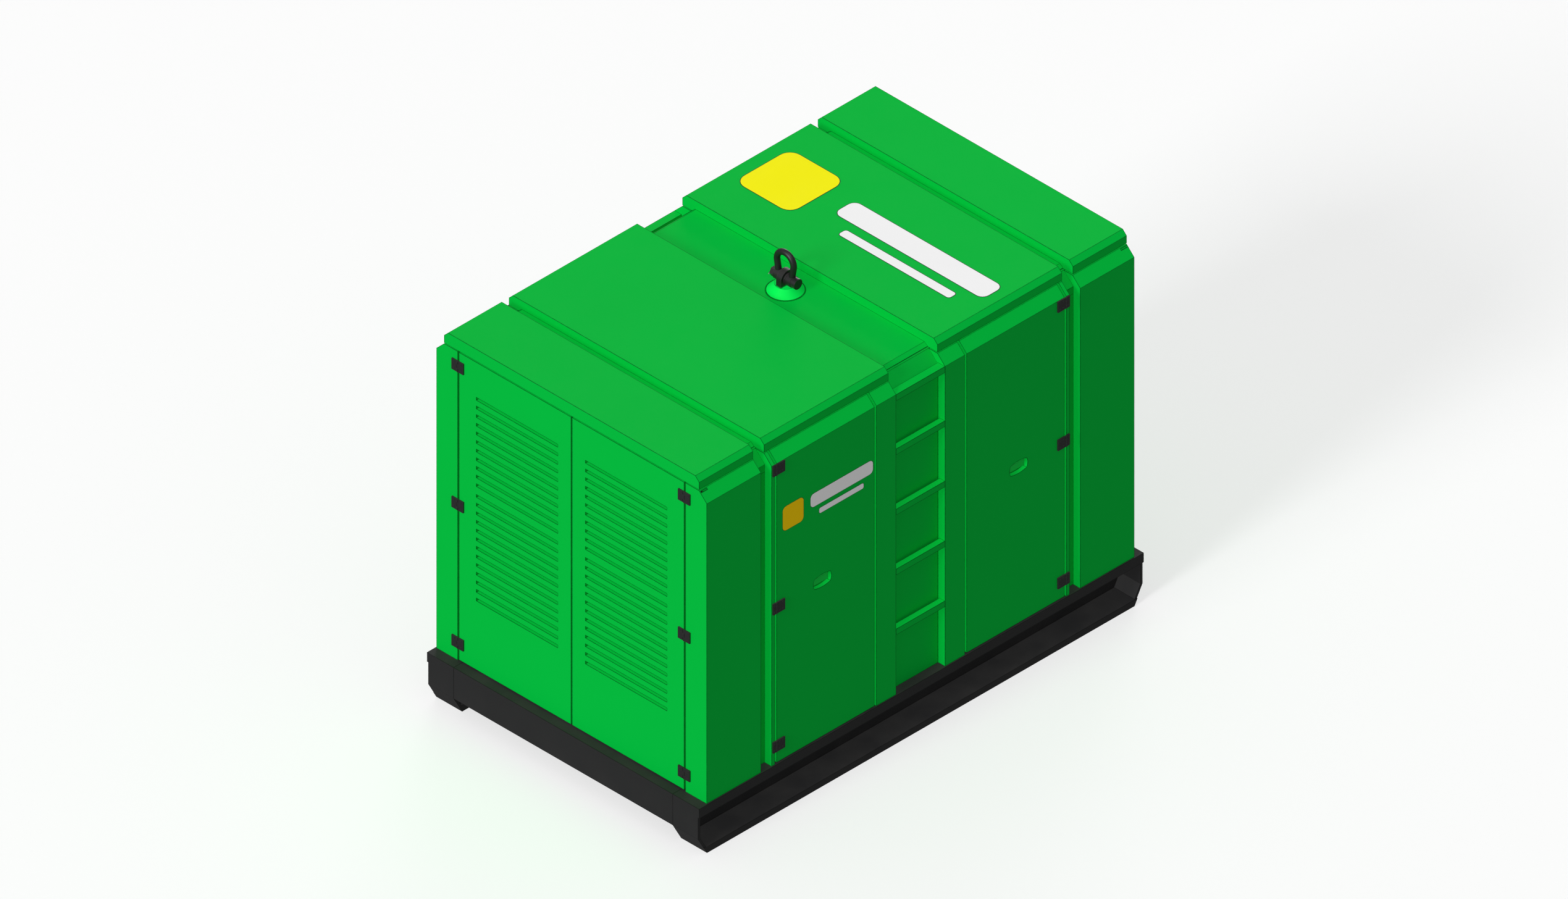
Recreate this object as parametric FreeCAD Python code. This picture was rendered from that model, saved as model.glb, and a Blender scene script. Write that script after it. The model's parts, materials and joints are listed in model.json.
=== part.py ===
import FreeCAD, Part
import math
import os

# Skid-mounted diesel generator set in a lockable canopy, millimetres.
# Origin: middle of the footprint, on the ground. X runs along the length,
# -X is the radiator end. +Y is the right-hand side seen from the control end.

# --- skid ---
skid_length = 2570.0
skid_width = 1574.0
skid_height = 245.0
runner_width = 154.0
runner_web = 12.0
runner_recess = 127.0
foot_thickness = 31.0
foot_setback = 4.0
end_plate_setback = 7.0
skid_plate = 12.0
fascia_height = 47.0
fascia_thickness = 10.0
sled_run = 49.0
sled_rise = 89.0
end_beam_flange = 100.0
cross_member_width = 80.0
cross_member_places = [-860.0, -330.0, 430.0, 900.0]
floor_thickness = 6.0

# --- canopy outside ---
deck_margin_end = 49.0
deck_margin_side = 5.5
wall_height = 1502.0
eaves_bend = 44.0
panel_depth = 40.5
knee_drop = 11.0
sheet = 4.0
door_sheet = 3.0
roof_gap = 4.5
corner_run = 313.0
corner_post_width = 123.0
groove_width = 62.0
narrow_post_width = 18.5
ladder_post_width = 114.0
ladder_width = 283.0
side_hinge_gap = 10.5
side_latch_gap = 11.0
end_hinge_gap = 8.0
end_meeting_gap = 6.2
door_floor_gap = 6.0
door_seal_gap = 2.5
landing = 35.0
sill_height = 50.0
end_landing = 50.5

# --- roof ---
deck_rise = 20.0
deck_foot = 4.0
lug_slot_gap = 2.0
deck_edge_inset = 101.0
deck_shoulder = 19.5
deck_end_gap = 5.5
cap_side = 37.5
cap_bend = 22.5
cap_groove_gap = 2.0

# --- doors ---
slot_edge = 99.5
slot_height = 14.5
slot_start = 80.0
slot_pitch = 43.2
slot_group_gap = 11.3
slot_top_drop = 132.0
slot_rows = [11, 13]
slot_margin = 12.0
slot_plate = 16.0
pocket_width = 105.0
pocket_height = 62.0
pocket_bulge = 7.0
pocket_depth = 22.0
pocket_wall = 4.0
pocket_place = 567.0
pocket_rise = 786.0
paddle_width = 84.0
paddle_height = 36.0
paddle_thickness = 4.0
paddle_setback = 10.0
paddle_pin_radius = 3.0

# --- hinges ---
hinge_height = 54.0
leaf_thickness = 7.0
hinge_low_rise = 91.5
hinge_high_drop = 26.5
knuckle_radius = 4.5
hinge_pin_radius = 2.2
knuckle_share = 16.0
leaf_relief = 6.0
side_leaf_fixed = 20.0
side_leaf_moving = 48.0
end_leaf = 34.0
running_fit = 0.06

# --- ladder ---
rung_tops = [328.0, 628.0, 928.0, 1230.0]
rung_size = 30.0
header_height = 32.0

# --- lifting gear ---
lift_post_width = 120.0
lift_post_depth = 80.0
lift_post_gap = 2.0
lift_steel = 8.0
lift_beam_drop = 27.0
lift_beam_height = 120.0
lug_width = 80.0
lug_thickness = 28.0
lug_cheek_radius = 27.0
lug_cheek_thickness = 6.5
pin_rise = 63.0
shackle_pin_radius = 14.0
shackle_pin_seat = 0.3
shackle_bar = 28.0
shackle_jaw = 43.0
shackle_ear_radius = 26.0
bow_radius = 48.0
bow_rise = 75.0
pin_head_radius = 24.0
pin_head_length = 24.0
cone_base_radius = 80.5
cone_top_radius = 46.0

# --- base tank ---
tank_height = 155.0
tank_width = 1120.0
tank_clearance = 8.0
filler_x = 345.0
filler_y = -500.0
filler_radius = 30.0
filler_rise = 180.0
filler_cap_radius = 40.0
filler_cap_height = 26.0

# --- engine and alternator ---
crank_height = 395.0
rail_spacing = 600.0
rail_width = 60.0
rail_height = 100.0
rail_length = 1440.0
mount_radius = 35.0
mount_height = 50.0
mount_waist = 10.0
rail_steel = 8.0
foot_length = 90.0
foot_plate = 14.0
foot_rib = 16.0
foot_rib_height = 120.0
mount_places = [-450.0, 70.0, 560.0]
block_start = -600.0
block_length = 620.0
block_width = 380.0
crankcase_wall = 40.0
cylinders = 4
block_round = 12.0
block_rib_start = 60.0
block_rib_pitch = 150.0
block_rib_width = 20.0
block_rib_depth = 10.0
block_rib_margin = 40.0
bell_wall = 12.0
flywheel_gap = 8.0
pump_reach = 18.0
pump_radius = 45.0
block_below = 170.0
block_above = 260.0
sump_width = 240.0
sump_depth = 70.0
head_width = 300.0
head_height = 110.0
cover_width = 220.0
cover_height = 60.0
cover_round = 30.0
port_drop = 50.0
port_start = 95.0
port_pitch = 140.0
port_radius = 26.0
manifold_radius = 38.0
starter_radius = 45.0
starter_length = 180.0
starter_drop = 80.0
starter_gap = 13.0
filter_radius = 40.0
filter_height = 150.0
filter_places = [-450.0, -310.0]
bell_length = 100.0
bell_radius = 240.0
flywheel_radius = 205.0
flywheel_length = 60.0
crank_radius = 40.0
stator_length = 500.0
stator_radius = 230.0
stator_bore = 150.0
rotor_radius = 148.0
rotor_length = 380.0
rotor_shaft_radius = 30.0
end_bracket = 30.0
terminal_place = 120.0
terminal_width = 260.0
terminal_height = 120.0
crank_pulley_radius = 95.0
fan_pulley_radius = 80.0
pulley_width = 30.0
pulley_start = -655.0
belt_width = 24.0
belt_thickness = 10.0
belt_clearance = 0.3
fan_height = 635.0
fan_radius = 300.0
fan_hub_radius = 60.0
fan_hub_length = 45.0
fan_shaft_radius = 12.0
fan_blades = 8
fan_blade_place = 16.0
fan_blade_width = 90.0
fan_blade_thickness = 4.0
fan_blade_angle = 25.0
radiator_face = -790.0
radiator_depth = 70.0
radiator_width = 960.0
radiator_side = 40.0
radiator_bottom = 140.0
radiator_height = 1000.0
header_tank = 50.0
shroud_length = 90.0
shroud_wall = 6.0
shroud_clearance = 16.0
silencer_x = -1030.0
silencer_height = 1235.0
silencer_radius = 110.0
silencer_length = 900.0
silencer_round = 20.0
strap_width = 30.0
strap_thickness = 10.0
exhaust_radius = 35.0
exhaust_wall = 3.0
exhaust_x = -300.0
exhaust_y = 200.0
cleaner_radius = 90.0
cleaner_length = 350.0
cleaner_gap = 25.0
cleaner_round = 12.0

# --- electrical ---
battery_size = [270.0, 180.0, 210.0]
battery_x = 700.0
battery_wall_gap = 90.5
post_height = 16.0
post_radius = 9.0
cabinet_face = 1150.0
cabinet_depth = 210.0
cabinet_width = 900.0
cabinet_height = 1260.0
panel_plate = 6.0
button_place = [-200.0, 1080.0]
button_radius = 20.0
button_stem = 8.0
button_travel = 6.0
lever_place = [150.0, 700.0]

# --- sizes that follow from the ones above ---
deck_z = skid_height
skid_end = skid_length / 2
skid_side = skid_width / 2
runner_inner = skid_side - runner_width
web_outer = skid_side - runner_recess
web_inner = web_outer - runner_web
floor_z = deck_z - skid_plate
floor_top = floor_z + floor_thickness
wall_x = skid_end - deck_margin_end
wall_y = skid_side - deck_margin_side
wall_top = deck_z + wall_height
eaves_z = wall_top + eaves_bend
body_y = wall_y - panel_depth
body_x = wall_x - panel_depth
body_knee = wall_top - knee_drop
frame_top = body_knee - header_height - sheet
roof_z = eaves_z + deck_rise
deck_rim = eaves_z + deck_foot
deck_edge = wall_y - deck_edge_inset
deck_half = body_x - deck_end_gap
cap_bottom = eaves_z + roof_gap
cap_edge = wall_y - eaves_bend
cap_top = cap_bottom + cap_side + cap_bend
groove_outer = wall_x - corner_run
groove_inner = groove_outer - groove_width
side_hinge_x = groove_inner - narrow_post_width - side_hinge_gap / 2
side_door_x1 = groove_inner - narrow_post_width - side_hinge_gap
ladder_half = ladder_width / 2
side_door_x0 = ladder_half + ladder_post_width + side_latch_gap
hinge_offset = knuckle_radius
hinge_low = deck_z + hinge_low_rise
hinge_high = wall_top - hinge_high_drop
hinge_places = [hinge_low, (hinge_low + hinge_high) / 2, hinge_high]
end_door_y1 = wall_y - corner_post_width - end_hinge_gap
end_hinge_y = end_door_y1 + end_hinge_gap / 2
end_door_y0 = end_meeting_gap / 2
end_frame_y = end_door_y1 - end_landing
slot_end = end_door_y1 - slot_edge
door_z0 = deck_z + door_floor_gap
rail_top = floor_top + rail_height
foot_z = rail_top + mount_height
crank_z = deck_z + crank_height
block_end = block_start + block_length
block_top = crank_z + block_above
block_bottom = crank_z - block_below
bell_end = block_end + bell_length
stator_end = bell_end + stator_length
head_top = block_top + head_height
cover_top = head_top + cover_height
fan_z = deck_z + fan_height
radiator_back = radiator_face - radiator_depth
pin_z = roof_z + pin_rise
lift_beam_z = wall_top - lift_beam_drop
lift_post_outer = body_y - sheet - lift_post_gap
paddle_axis_y = wall_y - paddle_setback - paddle_thickness / 2
paddle_axis_z = deck_z + pocket_rise + paddle_height / 2


def V(x, y, z):
    return FreeCAD.Vector(x, y, z)


def box(x0, x1, y0, y1, z0, z1):
    return Part.makeBox(x1 - x0, y1 - y0, z1 - z0, V(x0, y0, z0))


def face_of(points):
    return Part.Face(Part.makePolygon(points + [points[0]]))


def prism_x(outline, x0, x1):
    points = [V(x0, y, z) for y, z in outline]
    return face_of(points).extrude(V(x1 - x0, 0, 0))


def prism_y(outline, y0, y1):
    points = [V(x, y0, z) for x, z in outline]
    return face_of(points).extrude(V(0, y1 - y0, 0))


def prism_z(outline, z0, z1):
    points = [V(x, y, z0) for x, y in outline]
    return face_of(points).extrude(V(0, 0, z1 - z0))


def rod_x(x0, x1, y, z, radius):
    return Part.makeCylinder(radius, x1 - x0, V(x0, y, z), V(1, 0, 0))


def rod_y(y0, y1, x, z, radius):
    return Part.makeCylinder(radius, y1 - y0, V(x, y0, z), V(0, 1, 0))


def rod_z(z0, z1, x, y, radius):
    return Part.makeCylinder(radius, z1 - z0, V(x, y, z0), V(0, 0, 1))


def turned(shape, end, side):
    """A piece drawn at the +X, +Y corner, mirrored to another corner."""
    result = shape
    if end < 0:
        result = result.mirror(V(0, 0, 0), V(1, 0, 0))
    if side < 0:
        result = result.mirror(V(0, 0, 0), V(0, 1, 0))
    return result


def at_ends(shape):
    return [turned(shape, end, 1) for end in (-1, 1)]


def at_sides(shape):
    return [turned(shape, 1, side) for side in (-1, 1)]


def at_corners(shape):
    return [turned(shape, end, side) for end in (-1, 1) for side in (-1, 1)]


def save(name, pieces):
    """Writes one node, as a single solid or as a group of separate solids."""
    solids = []
    for piece in pieces:
        solids.extend(piece.Solids)
    shape = solids[0] if len(solids) == 1 else Part.makeCompound(solids)
    shape.exportStep("parts/" + name + ".step")


# --- skid ---

def recess_outline(top):
    inner_end = skid_end - skid_plate
    toe = skid_end - sled_run
    slope = sled_run / sled_rise
    toe_inner = toe + foot_thickness * slope - skid_plate * math.hypot(1, slope)
    knee = foot_thickness + (inner_end - toe_inner) / slope
    half = [(inner_end, top), (inner_end, knee), (toe_inner, foot_thickness)]
    return half + [(-x, z) for x, z in reversed(half)]


def skid_runner():
    toe = skid_end - sled_run
    half = [(skid_end, deck_z), (skid_end, sled_rise), (toe, 0)]
    outline = half + [(-x, z) for x, z in reversed(half)]
    runner = prism_y(outline, runner_inner, skid_side)
    fascia_z = deck_z - fascia_height
    fascia_y = skid_side - fascia_thickness
    runner = runner.cut(prism_y(recess_outline(floor_z), web_outer, fascia_y))
    runner = runner.cut(prism_y(recess_outline(fascia_z), fascia_y, skid_side))
    runner = runner.cut(prism_y(recess_outline(floor_z), runner_inner, web_inner))
    plate_y = skid_side - end_plate_setback
    runner = runner.cut(box(-skid_end, skid_end, plate_y, skid_side, foot_thickness, fascia_z))
    foot_y = skid_side - foot_setback
    return runner.cut(box(-skid_end, skid_end, foot_y, skid_side, 0, foot_thickness))


def skid_end_beam():
    inner = skid_end - end_beam_flange
    web = skid_end - skid_plate
    low = sled_rise + skid_plate
    outline = [(inner, sled_rise), (skid_end, sled_rise), (skid_end, deck_z), (inner, deck_z)]
    outline += [(inner, floor_z), (web, floor_z), (web, low), (inner, low)]
    return prism_y(outline, -runner_inner, runner_inner)


def cross_member(x, facing):
    """Channel whose web stands on the side that faces away from `facing`."""
    web = x - facing * cross_member_width / 2
    lip = x + facing * cross_member_width / 2
    web_in = web + facing * skid_plate
    low = sled_rise + skid_plate
    high = floor_z - skid_plate
    outline = [(web, sled_rise), (lip, sled_rise), (lip, low), (web_in, low)]
    outline += [(web_in, high), (lip, high), (lip, floor_z), (web, floor_z)]
    return prism_y(outline, -web_inner, web_inner)


def floor_plate():
    end = skid_end - end_beam_flange
    plate = box(-end, end, -runner_inner, runner_inner, floor_z, floor_top)
    return plate.cut(rod_z(floor_z, floor_top, filler_x, filler_y, filler_radius + 2))


def fuel_tank():
    x0 = cross_member_places[1] + cross_member_width / 2
    x1 = cross_member_places[2] - cross_member_width / 2
    top = floor_z - tank_clearance
    return box(x0, x1, -tank_width / 2, tank_width / 2, top - tank_height, top)


def fuel_filler_neck():
    bottom = floor_z - tank_clearance
    neck = rod_z(bottom, floor_top + filler_rise, filler_x, filler_y, filler_radius)
    collar = rod_z(floor_top, floor_top + 6, filler_x, filler_y, filler_radius + 15)
    return neck.fuse(collar)


def fuel_cap():
    z0 = floor_top + filler_rise + belt_clearance
    cap = rod_z(z0, z0 + filler_cap_height, filler_x, filler_y, filler_cap_radius)
    for k in range(6):
        angle = math.radians(60 * k)
        x = filler_x + filler_cap_radius * math.cos(angle)
        y = filler_y + filler_cap_radius * math.sin(angle)
        cap = cap.fuse(rod_z(z0, z0 + filler_cap_height, x, y, 5))
    return cap


# --- canopy ---

def wall_outline(inner_y, bottom):
    """Section of a wall panel that bends over the eaves at 45 degrees."""
    slope_sum = body_y + body_knee + (inner_y - body_y) * math.sqrt(2)
    outline = [(inner_y, bottom), (wall_y, bottom), (wall_y, wall_top)]
    outline += [(cap_edge, eaves_z), (slope_sum - eaves_z, eaves_z)]
    return outline + [(inner_y, slope_sum - inner_y)]


def wall_hollow(bottom, skin):
    slope_sum = wall_y + wall_top - skin * math.sqrt(2)
    outer = wall_y - skin
    top = eaves_z - skin
    deep = body_y - 4 * panel_depth
    return [(deep, bottom + skin), (outer, bottom + skin), (outer, slope_sum - outer),
            (slope_sum - top, top), (deep, top)]


def wall_panel(x0, x1, inner_y, bottom, skin):
    panel = prism_x(wall_outline(inner_y, bottom), x0, x1)
    return panel.cut(prism_x(wall_hollow(bottom, skin), x0 + skin, x1 - skin))


def corner_post():
    side = wall_panel(groove_outer, wall_x, body_y, deck_z, sheet)
    y0 = wall_y - corner_post_width
    end = box(body_x, wall_x, y0, body_y, deck_z, eaves_z)
    hollow = box(body_x, wall_x - sheet, y0 + sheet, body_y + sheet, deck_z + sheet, eaves_z - sheet)
    post = side.fuse(end).cut(hollow)
    outside = prism_x([(wall_y, wall_top), (wall_y, eaves_z), (cap_edge, eaves_z)], groove_outer, wall_x)
    return post.cut(outside).removeSplitter()


def narrow_post():
    return prism_x(wall_outline(body_y, deck_z), groove_inner - narrow_post_width, groove_inner)


def ladder_post():
    return wall_panel(ladder_half, ladder_half + ladder_post_width, body_y, deck_z, sheet)


def frame_post(x0, x1):
    """Channel post behind the outer panels, open towards the inside."""
    inner = body_y - panel_depth
    post = box(x0, x1, inner, body_y, deck_z, frame_top)
    return post.cut(box(x0 + sheet, x1 - sheet, inner, body_y - sheet, deck_z, frame_top))


def cant_rail():
    slope_sum = body_y + body_knee
    inner_sum = slope_sum - sheet * math.sqrt(2)
    shelf = deck_edge - panel_depth
    outline = [(body_y, frame_top), (body_y, body_knee), (slope_sum - eaves_z, eaves_z), (shelf, eaves_z)]
    outline += [(shelf, eaves_z - sheet), (inner_sum - eaves_z + sheet, eaves_z - sheet)]
    outline += [(body_y - sheet, inner_sum - body_y + sheet), (body_y - sheet, frame_top)]
    return prism_x(outline, -body_x, body_x)


def side_sill(x0, x1):
    inner = body_y - panel_depth
    top = deck_z + sill_height
    outline = [(inner, deck_z), (body_y, deck_z), (body_y, top), (body_y - sheet, top)]
    outline += [(body_y - sheet, deck_z + sheet), (inner, deck_z + sheet)]
    return prism_x(outline, x0, x1)


def end_rail(bottom, top, lip_z, half_width):
    """Angle across an end opening, its lip level with `lip_z`."""
    inner = body_x - panel_depth
    face = box(body_x - sheet, body_x, -half_width, half_width, bottom, top)
    return face.fuse(box(inner, body_x, -half_width, half_width, lip_z, lip_z + sheet)).removeSplitter()


def end_sill():
    beam_inner = skid_end - end_beam_flange
    face = box(body_x - sheet, body_x, -end_frame_y, end_frame_y, deck_z, deck_z + sill_height)
    foot = box(beam_inner, body_x, -end_frame_y, end_frame_y, deck_z, deck_z + sheet)
    return face.fuse(foot).removeSplitter()


def end_frame_post():
    inner = body_x - panel_depth
    outline = [(body_x, end_frame_y), (body_x, body_y - sheet), (body_x - sheet, body_y - sheet)]
    outline += [(body_x - sheet, end_frame_y + sheet), (inner, end_frame_y + sheet), (inner, end_frame_y)]
    return prism_z(outline, deck_z, frame_top)


def roof_bow():
    shelf = deck_edge - panel_depth
    top = roof_z - sheet
    outline = [(groove_inner, top), (groove_outer, top), (groove_outer, top - panel_depth)]
    outline += [(groove_outer - sheet, top - panel_depth), (groove_outer - sheet, top - sheet)]
    outline += [(groove_inner + sheet, top - sheet), (groove_inner + sheet, top - panel_depth)]
    outline += [(groove_inner, top - panel_depth)]
    return prism_y(outline, -shelf, shelf)


def canopy_frame():
    hoop = frame_post(groove_inner - landing - narrow_post_width, groove_outer + landing)
    middle = frame_post(ladder_half, side_door_x0 + landing)
    door_sill = side_sill(side_door_x0 + landing, groove_inner - landing - narrow_post_width)
    corner_sill = side_sill(groove_outer + landing, body_x - sheet)
    pieces = at_corners(hoop) + at_corners(middle) + at_corners(door_sill) + at_corners(corner_sill)
    pieces += at_sides(cant_rail()) + at_corners(end_frame_post()) + at_ends(end_sill())
    shelf = deck_edge - panel_depth
    pieces += at_ends(end_rail(frame_top, eaves_z, eaves_z - sheet, shelf))
    return pieces + at_ends(roof_bow())


def deck_outline(bottom, clearance):
    half = [(deck_edge + clearance, bottom), (deck_edge + clearance, deck_rim),
            (deck_edge + clearance - deck_shoulder, roof_z)]
    return half + [(-y, z) for y, z in reversed(half)]


def roof_deck():
    half = deck_half
    deck = prism_x(deck_outline(deck_rim, 0), -half, half)
    foot = deck_edge - sheet
    deck = deck.fuse(box(-half, half, -foot, foot, eaves_z, deck_rim))
    room = deck_edge - deck_shoulder - sheet
    deck = deck.cut(box(-half + sheet, half - sheet, -room, room, eaves_z, roof_z - sheet))
    slot_x = lug_width / 2 + lug_slot_gap
    slot_y = lug_thickness / 2 + lug_slot_gap
    return deck.cut(box(-slot_x, slot_x, -slot_y, slot_y, eaves_z, roof_z)).removeSplitter()


def roof_cap(x0, x1, covered_to):
    """Pressed roof cover that rests on the deck; the deck runs under it up to `covered_to`."""
    half = [(cap_edge, cap_bottom), (cap_edge, cap_bottom + cap_side), (cap_edge - cap_bend, cap_top)]
    outline = half + [(-y, z) for y, z in reversed(half)]
    cap = prism_x(outline, x0, x1)
    cap = cap.cut(prism_x(deck_outline(cap_bottom - 1, 1), x0 - 1, covered_to))
    room = cap_edge - cap_bend - sheet
    return cap.cut(box(x0 + sheet, min(x1, covered_to) - sheet, -room, room, roof_z, cap_top - sheet))


def rung(top):
    z = deck_z + top
    return box(-ladder_half, ladder_half, wall_y - rung_size, wall_y, z - rung_size, z)


def ladder():
    pieces = [rung(top) for top in rung_tops]
    pieces += [box(-ladder_half, ladder_half, body_y, wall_y, wall_top - header_height, wall_top)]
    pieces += [box(-ladder_half, ladder_half, body_y - sheet, body_y, deck_z, frame_top)]
    return pieces


# --- doors and hinges ---

def side_door():
    panel = wall_panel(side_door_x0, side_door_x1, body_y + door_seal_gap, door_z0, door_sheet)
    half_x = pocket_width / 2
    half_z = pocket_height / 2
    z = deck_z + pocket_rise
    floor_y = wall_y - pocket_depth
    reach_x = half_x + pocket_wall
    reach_z = half_z + pocket_wall
    boss = box(pocket_place - reach_x, pocket_place + reach_x, floor_y - door_sheet, wall_y - door_sheet / 2,
               z - reach_z, z + reach_z)
    panel = panel.fuse(boss).cut(pocket_hollow(floor_y))
    pin_x = paddle_width / 2 + pocket_bulge + pocket_wall
    bore = rod_x(pocket_place - pin_x, pocket_place + pin_x, paddle_axis_y, paddle_axis_z,
                 paddle_pin_radius + running_fit)
    return panel.cut(bore).removeSplitter()


def pocket_hollow(floor_y):
    """Finger pocket whose four sides bulge outwards as shallow arcs."""
    half_x = pocket_width / 2
    half_z = pocket_height / 2
    x0 = pocket_place
    z0 = deck_z + pocket_rise
    corner_x = half_x - pocket_bulge
    corner_z = half_z - pocket_bulge
    corners = [(corner_x, corner_z), (-corner_x, corner_z), (-corner_x, -corner_z), (corner_x, -corner_z)]
    crowns = [(0, half_z), (-half_x, 0), (0, -half_z), (half_x, 0)]
    edges = []
    for k in range(4):
        start = corners[k]
        end = corners[(k + 1) % 4]
        points = [V(x0 + u, floor_y, z0 + w) for u, w in (start, crowns[k], end)]
        edges.append(Part.Arc(*points).toShape())
    outline = Part.Face(Part.Wire(edges))
    return outline.extrude(V(0, pocket_depth + 1, 0))


def door_paddle():
    half = paddle_width / 2
    front = paddle_axis_y + paddle_thickness / 2
    top = paddle_axis_z + paddle_pin_radius
    plate = box(pocket_place - half, pocket_place + half, front - paddle_thickness, front,
                top - paddle_height, top)
    reach = half + pocket_bulge + 2
    pin = rod_x(pocket_place - reach, pocket_place + reach, paddle_axis_y, paddle_axis_z, paddle_pin_radius)
    return plate.fuse(pin).removeSplitter()


def slot_tops():
    tops = []
    top = wall_top - slot_top_drop
    for rows in slot_rows:
        tops += [top - slot_pitch * k for k in range(rows)]
        top = tops[-1] - slot_pitch - slot_group_gap
    return tops


def end_door():
    inner_x = body_x + door_seal_gap
    top = eaves_z - 1
    door = box(inner_x, wall_x, end_door_y0, end_door_y1, door_z0, top)
    door = door.cut(box(inner_x, wall_x - door_sheet, end_door_y0 + door_sheet,
                        end_door_y1 - door_sheet, door_z0 + door_sheet, top - door_sheet))
    tops = slot_tops()
    y1 = slot_end
    plate = box(wall_x - slot_plate, wall_x - door_sheet / 2, slot_start - slot_margin, y1 + slot_margin,
                tops[-1] - slot_height - slot_margin, tops[0] + slot_margin)
    slots = [box(wall_x - slot_plate, wall_x, slot_start, y1, z - slot_height, z) for z in tops]
    return door.fuse(plate).cut(Part.makeCompound(slots)).removeSplitter()


def hinge_fixed(width):
    """Fixed leaf with pin, drawn at the pin: +X away from the door, +Y outwards."""
    face = -hinge_offset
    half = hinge_height / 2
    inner = half - knuckle_share
    leaf = box(leaf_relief, width, face, face + leaf_thickness, -half, half)
    for z in (-half, inner):
        leaf = leaf.fuse(box(0, leaf_relief, face, face + leaf_thickness, z, z + knuckle_share))
        leaf = leaf.fuse(rod_z(z, z + knuckle_share, 0, 0, knuckle_radius))
    return leaf.fuse(rod_z(-half, half, 0, 0, hinge_pin_radius)).removeSplitter()


def hinge_moving(width):
    face = -hinge_offset
    half = hinge_height / 2
    middle = half - knuckle_share - 0.4
    leaf = box(-width, -leaf_relief, face, face + leaf_thickness, -half, half)
    leaf = leaf.fuse(box(-leaf_relief, 0, face, face + leaf_thickness, -middle, middle))
    leaf = leaf.fuse(rod_z(-middle, middle, 0, 0, knuckle_radius))
    return leaf.cut(rod_z(-middle, middle, 0, 0, hinge_pin_radius + running_fit)).removeSplitter()


def side_hinges(leaf):
    place_y = wall_y + hinge_offset
    return [leaf.translated(V(side_hinge_x, place_y, z)) for z in hinge_places]


def end_hinges(leaf):
    swapped = leaf.mirror(V(0, 0, 0), V(1, -1, 0))
    place_x = wall_x + hinge_offset
    return [swapped.translated(V(place_x, end_hinge_y, z)) for z in hinge_places]


def fixed_leaves():
    quarter = side_hinges(hinge_fixed(side_leaf_fixed)) + end_hinges(hinge_fixed(end_leaf))
    return at_corners(Part.makeCompound(quarter))


# --- lifting gear ---

def lifting_frame():
    half = lift_post_width / 2
    inner = lift_post_outer - lift_post_depth
    wall = lift_steel
    outline = [(-half, inner), (-half, lift_post_outer), (half, lift_post_outer), (half, inner)]
    outline += [(half - wall, inner), (half - wall, lift_post_outer - wall)]
    outline += [(-half + wall, lift_post_outer - wall), (-half + wall, inner)]
    posts = at_sides(prism_z(outline, deck_z, lift_beam_z))
    low = lift_beam_z - lift_beam_height
    beam = box(-half, half, -inner - wall, inner + wall, low, lift_beam_z)
    beam = beam.cut(box(-half + wall, half - wall, -inner - wall, inner + wall, low, lift_beam_z - wall))
    return posts[0].fuse([posts[1], beam]).removeSplitter()


def lifting_lug():
    half = lug_width / 2
    base_half = lift_post_width / 2
    base = box(-base_half, base_half, -base_half, base_half, lift_beam_z, lift_beam_z + lift_steel)
    plate = box(-half, half, -lug_thickness / 2, lug_thickness / 2, lift_beam_z, pin_z)
    plate = plate.fuse(rod_y(-lug_thickness / 2, lug_thickness / 2, 0, pin_z, half))
    reach = lug_thickness / 2 + lug_cheek_thickness
    lug = base.fuse([plate, rod_y(-reach, reach, 0, pin_z, lug_cheek_radius)])
    hole = rod_y(-reach, reach, 0, pin_z, shackle_pin_radius + shackle_pin_seat)
    return lug.cut(hole).removeSplitter()


def lifting_cone():
    rise = cone_base_radius - cone_top_radius
    cone = Part.makeCone(cone_base_radius, cone_top_radius, rise, V(0, 0, roof_z))
    slot_x = lug_width / 2 + 0.3
    slot_y = lug_thickness / 2 + 0.3
    return cone.cut(box(-slot_x, slot_x, -slot_y, slot_y, roof_z, roof_z + rise))


def shackle_bow():
    """Bow shackle: two ears on the pin, legs that run tangent into a round crown."""
    ear_mid = shackle_jaw / 2 + shackle_bar / 2
    centre = V(0, 0, pin_z + bow_rise)
    reach = math.hypot(ear_mid, bow_rise)
    swing = math.atan2(-bow_rise, ear_mid) + math.acos(bow_radius / reach)
    tangent = V(0, bow_radius * math.cos(swing), bow_radius * math.sin(swing))
    left = centre + V(0, -tangent.y, tangent.z)
    right = centre + tangent
    crown = Part.Arc(left, centre + V(0, 0, bow_radius), right).toShape()
    foot_left = V(0, -ear_mid, pin_z)
    foot_right = V(0, ear_mid, pin_z)
    path = Part.Wire([Part.makeLine(foot_left, left), crown, Part.makeLine(right, foot_right)])
    section = Part.Wire([Part.makeCircle(shackle_bar / 2, foot_left, left - foot_left)])
    bow = path.makePipeShell([section], True, True)
    bore = rod_y(-ear_mid * 3, ear_mid * 3, 0, pin_z, shackle_pin_radius + running_fit)
    for y in (-ear_mid, ear_mid):
        start = y - shackle_bar / 2
        bow = bow.fuse(rod_y(start, start + shackle_bar, 0, pin_z, shackle_ear_radius))
    below = box(-60, 60, -ear_mid * 3, ear_mid * 3, pin_z - 200, pin_z - shackle_ear_radius)
    jaw = shackle_jaw / 2
    clear = rod_y(-jaw, jaw, 0, pin_z, shackle_ear_radius + 4)
    outer = jaw + shackle_bar
    faces = [rod_y(y, y + pin_head_length, 0, pin_z, pin_head_radius + 1.5)
             for y in (outer, -outer - pin_head_length)]
    return bow.cut([below, clear, bore] + faces).removeSplitter()


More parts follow.
